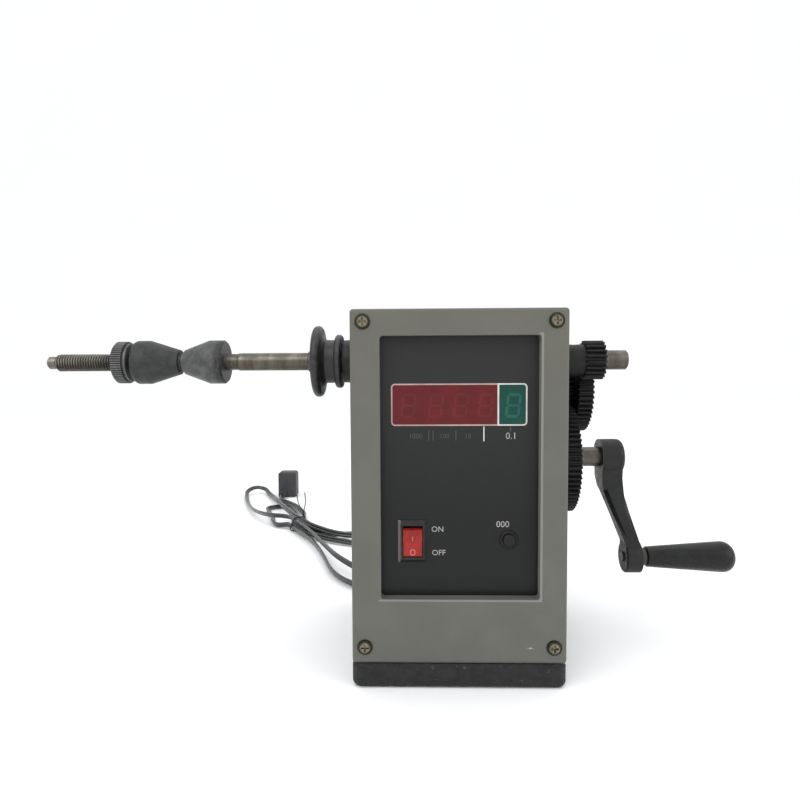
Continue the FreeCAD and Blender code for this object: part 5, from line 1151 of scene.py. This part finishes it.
class WINDER_OT_spindle(WinderStep, bpy.types.Operator):
    """Spindle with its cut thread, knurled nut, centring cones and hand wheel"""
    bl_idname = "winder.spindle"
    bl_label = "Spindle"

    def execute(self, context):
        sizes, finish, _ = settings()
        self.bar(sizes, finish)
        self.nut(sizes, finish)
        dress(self.inner_cone(finish), "inner_cone")
        dress(blackened_steel(finish, "outer_cone_steel", 0.46, 0.3, 0.85), "outer_cone")
        dress(blackened_steel(finish, "wheel_steel", 0.40, 0.45, 0.9), "hand_wheel")
        dress(turned_metal("collar_steel", shade(finish.steel, 0.9), 0.35),
              "spindle_collars", "count_disc")
        dress(turned_metal("grub_steel", (0.08, 0.08, 0.082), 0.4, axis="Y"),
              "spindle_grub_screws")
        return {"FINISHED"}

    def bar(self, sizes, finish):
        """The stepped bar, with a real helix for its thread and a flat at the crank's end."""
        low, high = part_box("spindle")
        tip, end = low.x, high.x
        crest_radius, neck, full = 4.95 * MM, 4.6 * MM, (high.y - low.y) / 2
        start, relief, relief_end, step_face = [
            place * MM for place in (THREAD_START, THREAD_END, RELIEF_END, STEP_FACE)]
        last = relief - 0.4 * MM
        pitch, depth = sizes.thread_pitch, sizes.thread_depth
        tail_start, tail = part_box("spindle_pinion")[1].x + 0.3 * MM, 5.5 * MM
        flat_start, flat = end - 4.4 * MM, 4.7 * MM

        def shape(place, angle, radius):
            if start - 0.6 * MM < place < last:
                phase = (place / pitch - angle / math.tau) % 1.0
                crest = min(1.0, max(0.0, abs(2 * phase - 1) * 1.3 - 0.12))
                fade = min(1.0, (last - place) / (2 * MM))
                return radius - depth * (1 - crest) * fade
            toward_front = -math.cos(angle)
            if place > flat_start and toward_front > 0:
                return min(radius, flat / toward_front)
            return radius

        profile = [(tip, 0.0), (tip, 2.6 * MM), (tip + 1 * MM, 3.6 * MM),
                   (start - 0.6 * MM, 3.6 * MM), (start - 0.4 * MM, 3.75 * MM),
                   (start + 0.7 * MM, crest_radius)]
        samples = 8      # rings to a turn of the thread
        count = int((last - start - 0.8 * MM) / pitch * samples)
        profile += [(start + 0.8 * MM + pitch / samples * step, crest_radius)
                    for step in range(count)]
        profile += [(last, crest_radius), (relief, neck), (relief_end - 0.4 * MM, neck),
                    (relief_end, 5.0 * MM), (step_face, 5.0 * MM), (step_face, full - 0.4 * MM),
                    (step_face + 0.4 * MM, full), (tail_start, full),
                    (tail_start + 0.01 * MM, tail), (flat_start, tail),
                    (flat_start + 0.01 * MM, tail), (end - 0.7 * MM, tail),
                    (end, tail - 0.7 * MM), (end, 0.0)]
        drawing = bmesh.new()
        turn(drawing, profile, 48, (SPINDLE.y, SPINDLE.z), radius_at=shape)
        return new_piece("spindle_bar", drawing, spindle_steel(finish), "spindle",
                         ("spindle",))

    def inner_cone(self, finish):
        """The cone next to the machine: paler on its taper, darker and pitted behind."""
        made = Shading("inner_cone_steel", metal=0.55, rough=0.44)
        taper_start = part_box("inner_cone")[0].x
        clouds = made.noise(5 * MM, 5, 0.62)
        back = made.ramp(made.along("X"), taper_start + 19 * MM, taper_start + 22 * MM)
        pits = made.ramp(made.noise(1.1 * MM, 5, 0.75), 0.50, 0.62)
        pale = made.blend(made.ramp(clouds, 0.3, 0.7), shade(finish.blackened, 1.2),
                          shade(finish.blackened, 2.1))
        dark = made.blend(pits, shade(finish.blackened, 0.7), shade(finish.blackened, 1.5))
        made.surface("Base Color", made.blend(back, pale, dark))
        made.bump(made.noise(0.5 * MM, 3, 0.6, made.stretched(1.0, 0.15, 0.15)), 0.03 * MM)
        made.bump(pits, -0.05 * MM)
        return made.material

    def nut(self, sizes, finish):
        """Clamp nut with a straight knurl and a turned step on its cone side."""
        low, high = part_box("clamp_nut")
        outer, bore = (high.z - low.z) / 2, 5.03 * MM
        root = outer - sizes.knurl_depth
        step, boss = 1.3 * MM, 10.9 * MM
        knurled = (low.x + 0.9 * MM, high.x - step - 0.5 * MM)

        def shape(place, angle, radius):
            if knurled[0] < place < knurled[1]:
                wave = 0.5 - 0.5 * math.cos(angle * sizes.knurl_count)
                return radius - sizes.knurl_depth * wave ** 1.2
            return radius

        profile = [(low.x, bore + 0.5 * MM), (low.x, outer - 1.4 * MM),
                   (low.x + 0.3 * MM, outer - 0.9 * MM), (low.x + 0.88 * MM, root),
                   (low.x + 0.95 * MM, outer), (knurled[1] - 0.05 * MM, outer),
                   (knurled[1] + 0.02 * MM, root), (high.x - step, outer - 0.5 * MM),
                   (high.x - step, boss), (high.x - 0.2 * MM, boss), (high.x, 10.7 * MM),
                   (high.x, bore + 0.5 * MM), (high.x - 0.5 * MM, bore),
                   (low.x + 0.5 * MM, bore)]
        drawing = bmesh.new()
        turn(drawing, profile, sizes.knurl_count * 6, (SPINDLE.y, SPINDLE.z), closed=True,
             radius_at=shape)
        black = blackened_steel(finish, "nut_steel", 0.45, 0.8, 2.4, root, outer - 0.08 * MM)
        return new_piece("knurled_nut", drawing, black, "clamp_nut",
                         ("clamp_nut",), sharp=math.radians(40))


class WINDER_OT_gears(WinderStep, bpy.types.Operator):
    """Gear train on the crank side, in oiled black steel"""
    bl_idname = "winder.gears"
    bl_label = "Gears"

    def execute(self, context):
        finish = settings()[1]
        dress(blackened_steel(finish, "gear_steel", 0.50, 0.25, 0.42),
              "spindle_pinion", "idler_gear", "crank_gear")
        dress(turned_metal("stud_steel", shade(finish.steel, 0.8), 0.32),
              "idler_stud", "idler_ring")
        return {"FINISHED"}


class WINDER_OT_crank(WinderStep, bpy.types.Operator):
    """Crank shaft, cast arm, its screw and the tapered grip"""
    bl_idname = "winder.crank"
    bl_label = "Crank"

    def execute(self, context):
        finish = settings()[1]
        dress(turned_metal("crank_steel", finish.steel, 0.32), "crank_shaft")
        dress(turned_metal("pin_steel", shade(finish.steel, 0.6), 0.4), "grip_pin")
        dress(turned_metal("arm_screw_steel", (0.08, 0.08, 0.082), 0.4, axis="Y"),
              "crank_grub_screw")
        dress(cast_arm(finish), "crank_arm")
        dress(moulded_plastic("grip_plastic", finish.black_plastic, 0.30, 0.9, 0.10), "grip")
        return {"FINISHED"}


class WINDER_OT_inside(WinderStep, bpy.types.Operator):
    """Circuit board, transformer and counting sensor inside the housing"""
    bl_idname = "winder.inside"
    bl_label = "Inside parts"

    def execute(self, context):
        dress(circuit_board(), "counter_board")
        dress(moulded_plastic("nylon", (0.62, 0.60, 0.54), 0.45), "board_spacers")
        dress(steel_stack(), "transformer_core")
        dress(moulded_plastic("winding_tape", (0.55, 0.42, 0.10), 0.5, 0.8), "transformer_coil")
        dress(turned_metal("bracket_steel", (0.45, 0.45, 0.44), 0.4, axis="Y"),
              "sensor_bracket")
        dress(moulded_plastic("sensor_plastic", (0.02, 0.02, 0.022), 0.4), "count_sensor")
        return {"FINISHED"}


STEPS = (
    WINDER_OT_studio, WINDER_OT_mains_lead, WINDER_OT_castings, WINDER_OT_covers,
    WINDER_OT_panel, WINDER_OT_controls, WINDER_OT_spindle, WINDER_OT_gears, WINDER_OT_crank,
    WINDER_OT_inside,
)


class WINDER_PT_sidebar(bpy.types.Panel):
    """Lists the steps that build the machine's looks"""
    bl_idname = "WINDER_PT_sidebar"
    bl_label = "Coil Winding Machine"
    bl_space_type = "VIEW_3D"
    bl_region_type = "UI"
    bl_category = "Winder"

    def draw(self, context):
        for step in STEPS:
            self.layout.operator(step.bl_idname)


GROUPS = {"winder_sizes": WinderSizes, "winder_finish": WinderFinish, "winder_studio": WinderStudio}
CLASSES = (*GROUPS.values(), *STEPS, WINDER_PT_sidebar)


def register():
    for item in CLASSES:
        bpy.utils.register_class(item)
    for name, group in GROUPS.items():
        setattr(bpy.types.Scene, name, PointerProperty(type=group))


def unregister():
    for name in GROUPS:
        delattr(bpy.types.Scene, name)
    for item in reversed(CLASSES):
        bpy.utils.unregister_class(item)


def main():
    register()
    bpy.ops.winder.studio()
    bpy.ops.winder.mains_lead()
    bpy.ops.winder.castings()
    bpy.ops.winder.covers()
    bpy.ops.winder.panel()
    bpy.ops.winder.controls()
    bpy.ops.winder.spindle()
    bpy.ops.winder.gears()
    bpy.ops.winder.crank()
    bpy.ops.winder.inside()


if __name__ == "__main__":
    main()
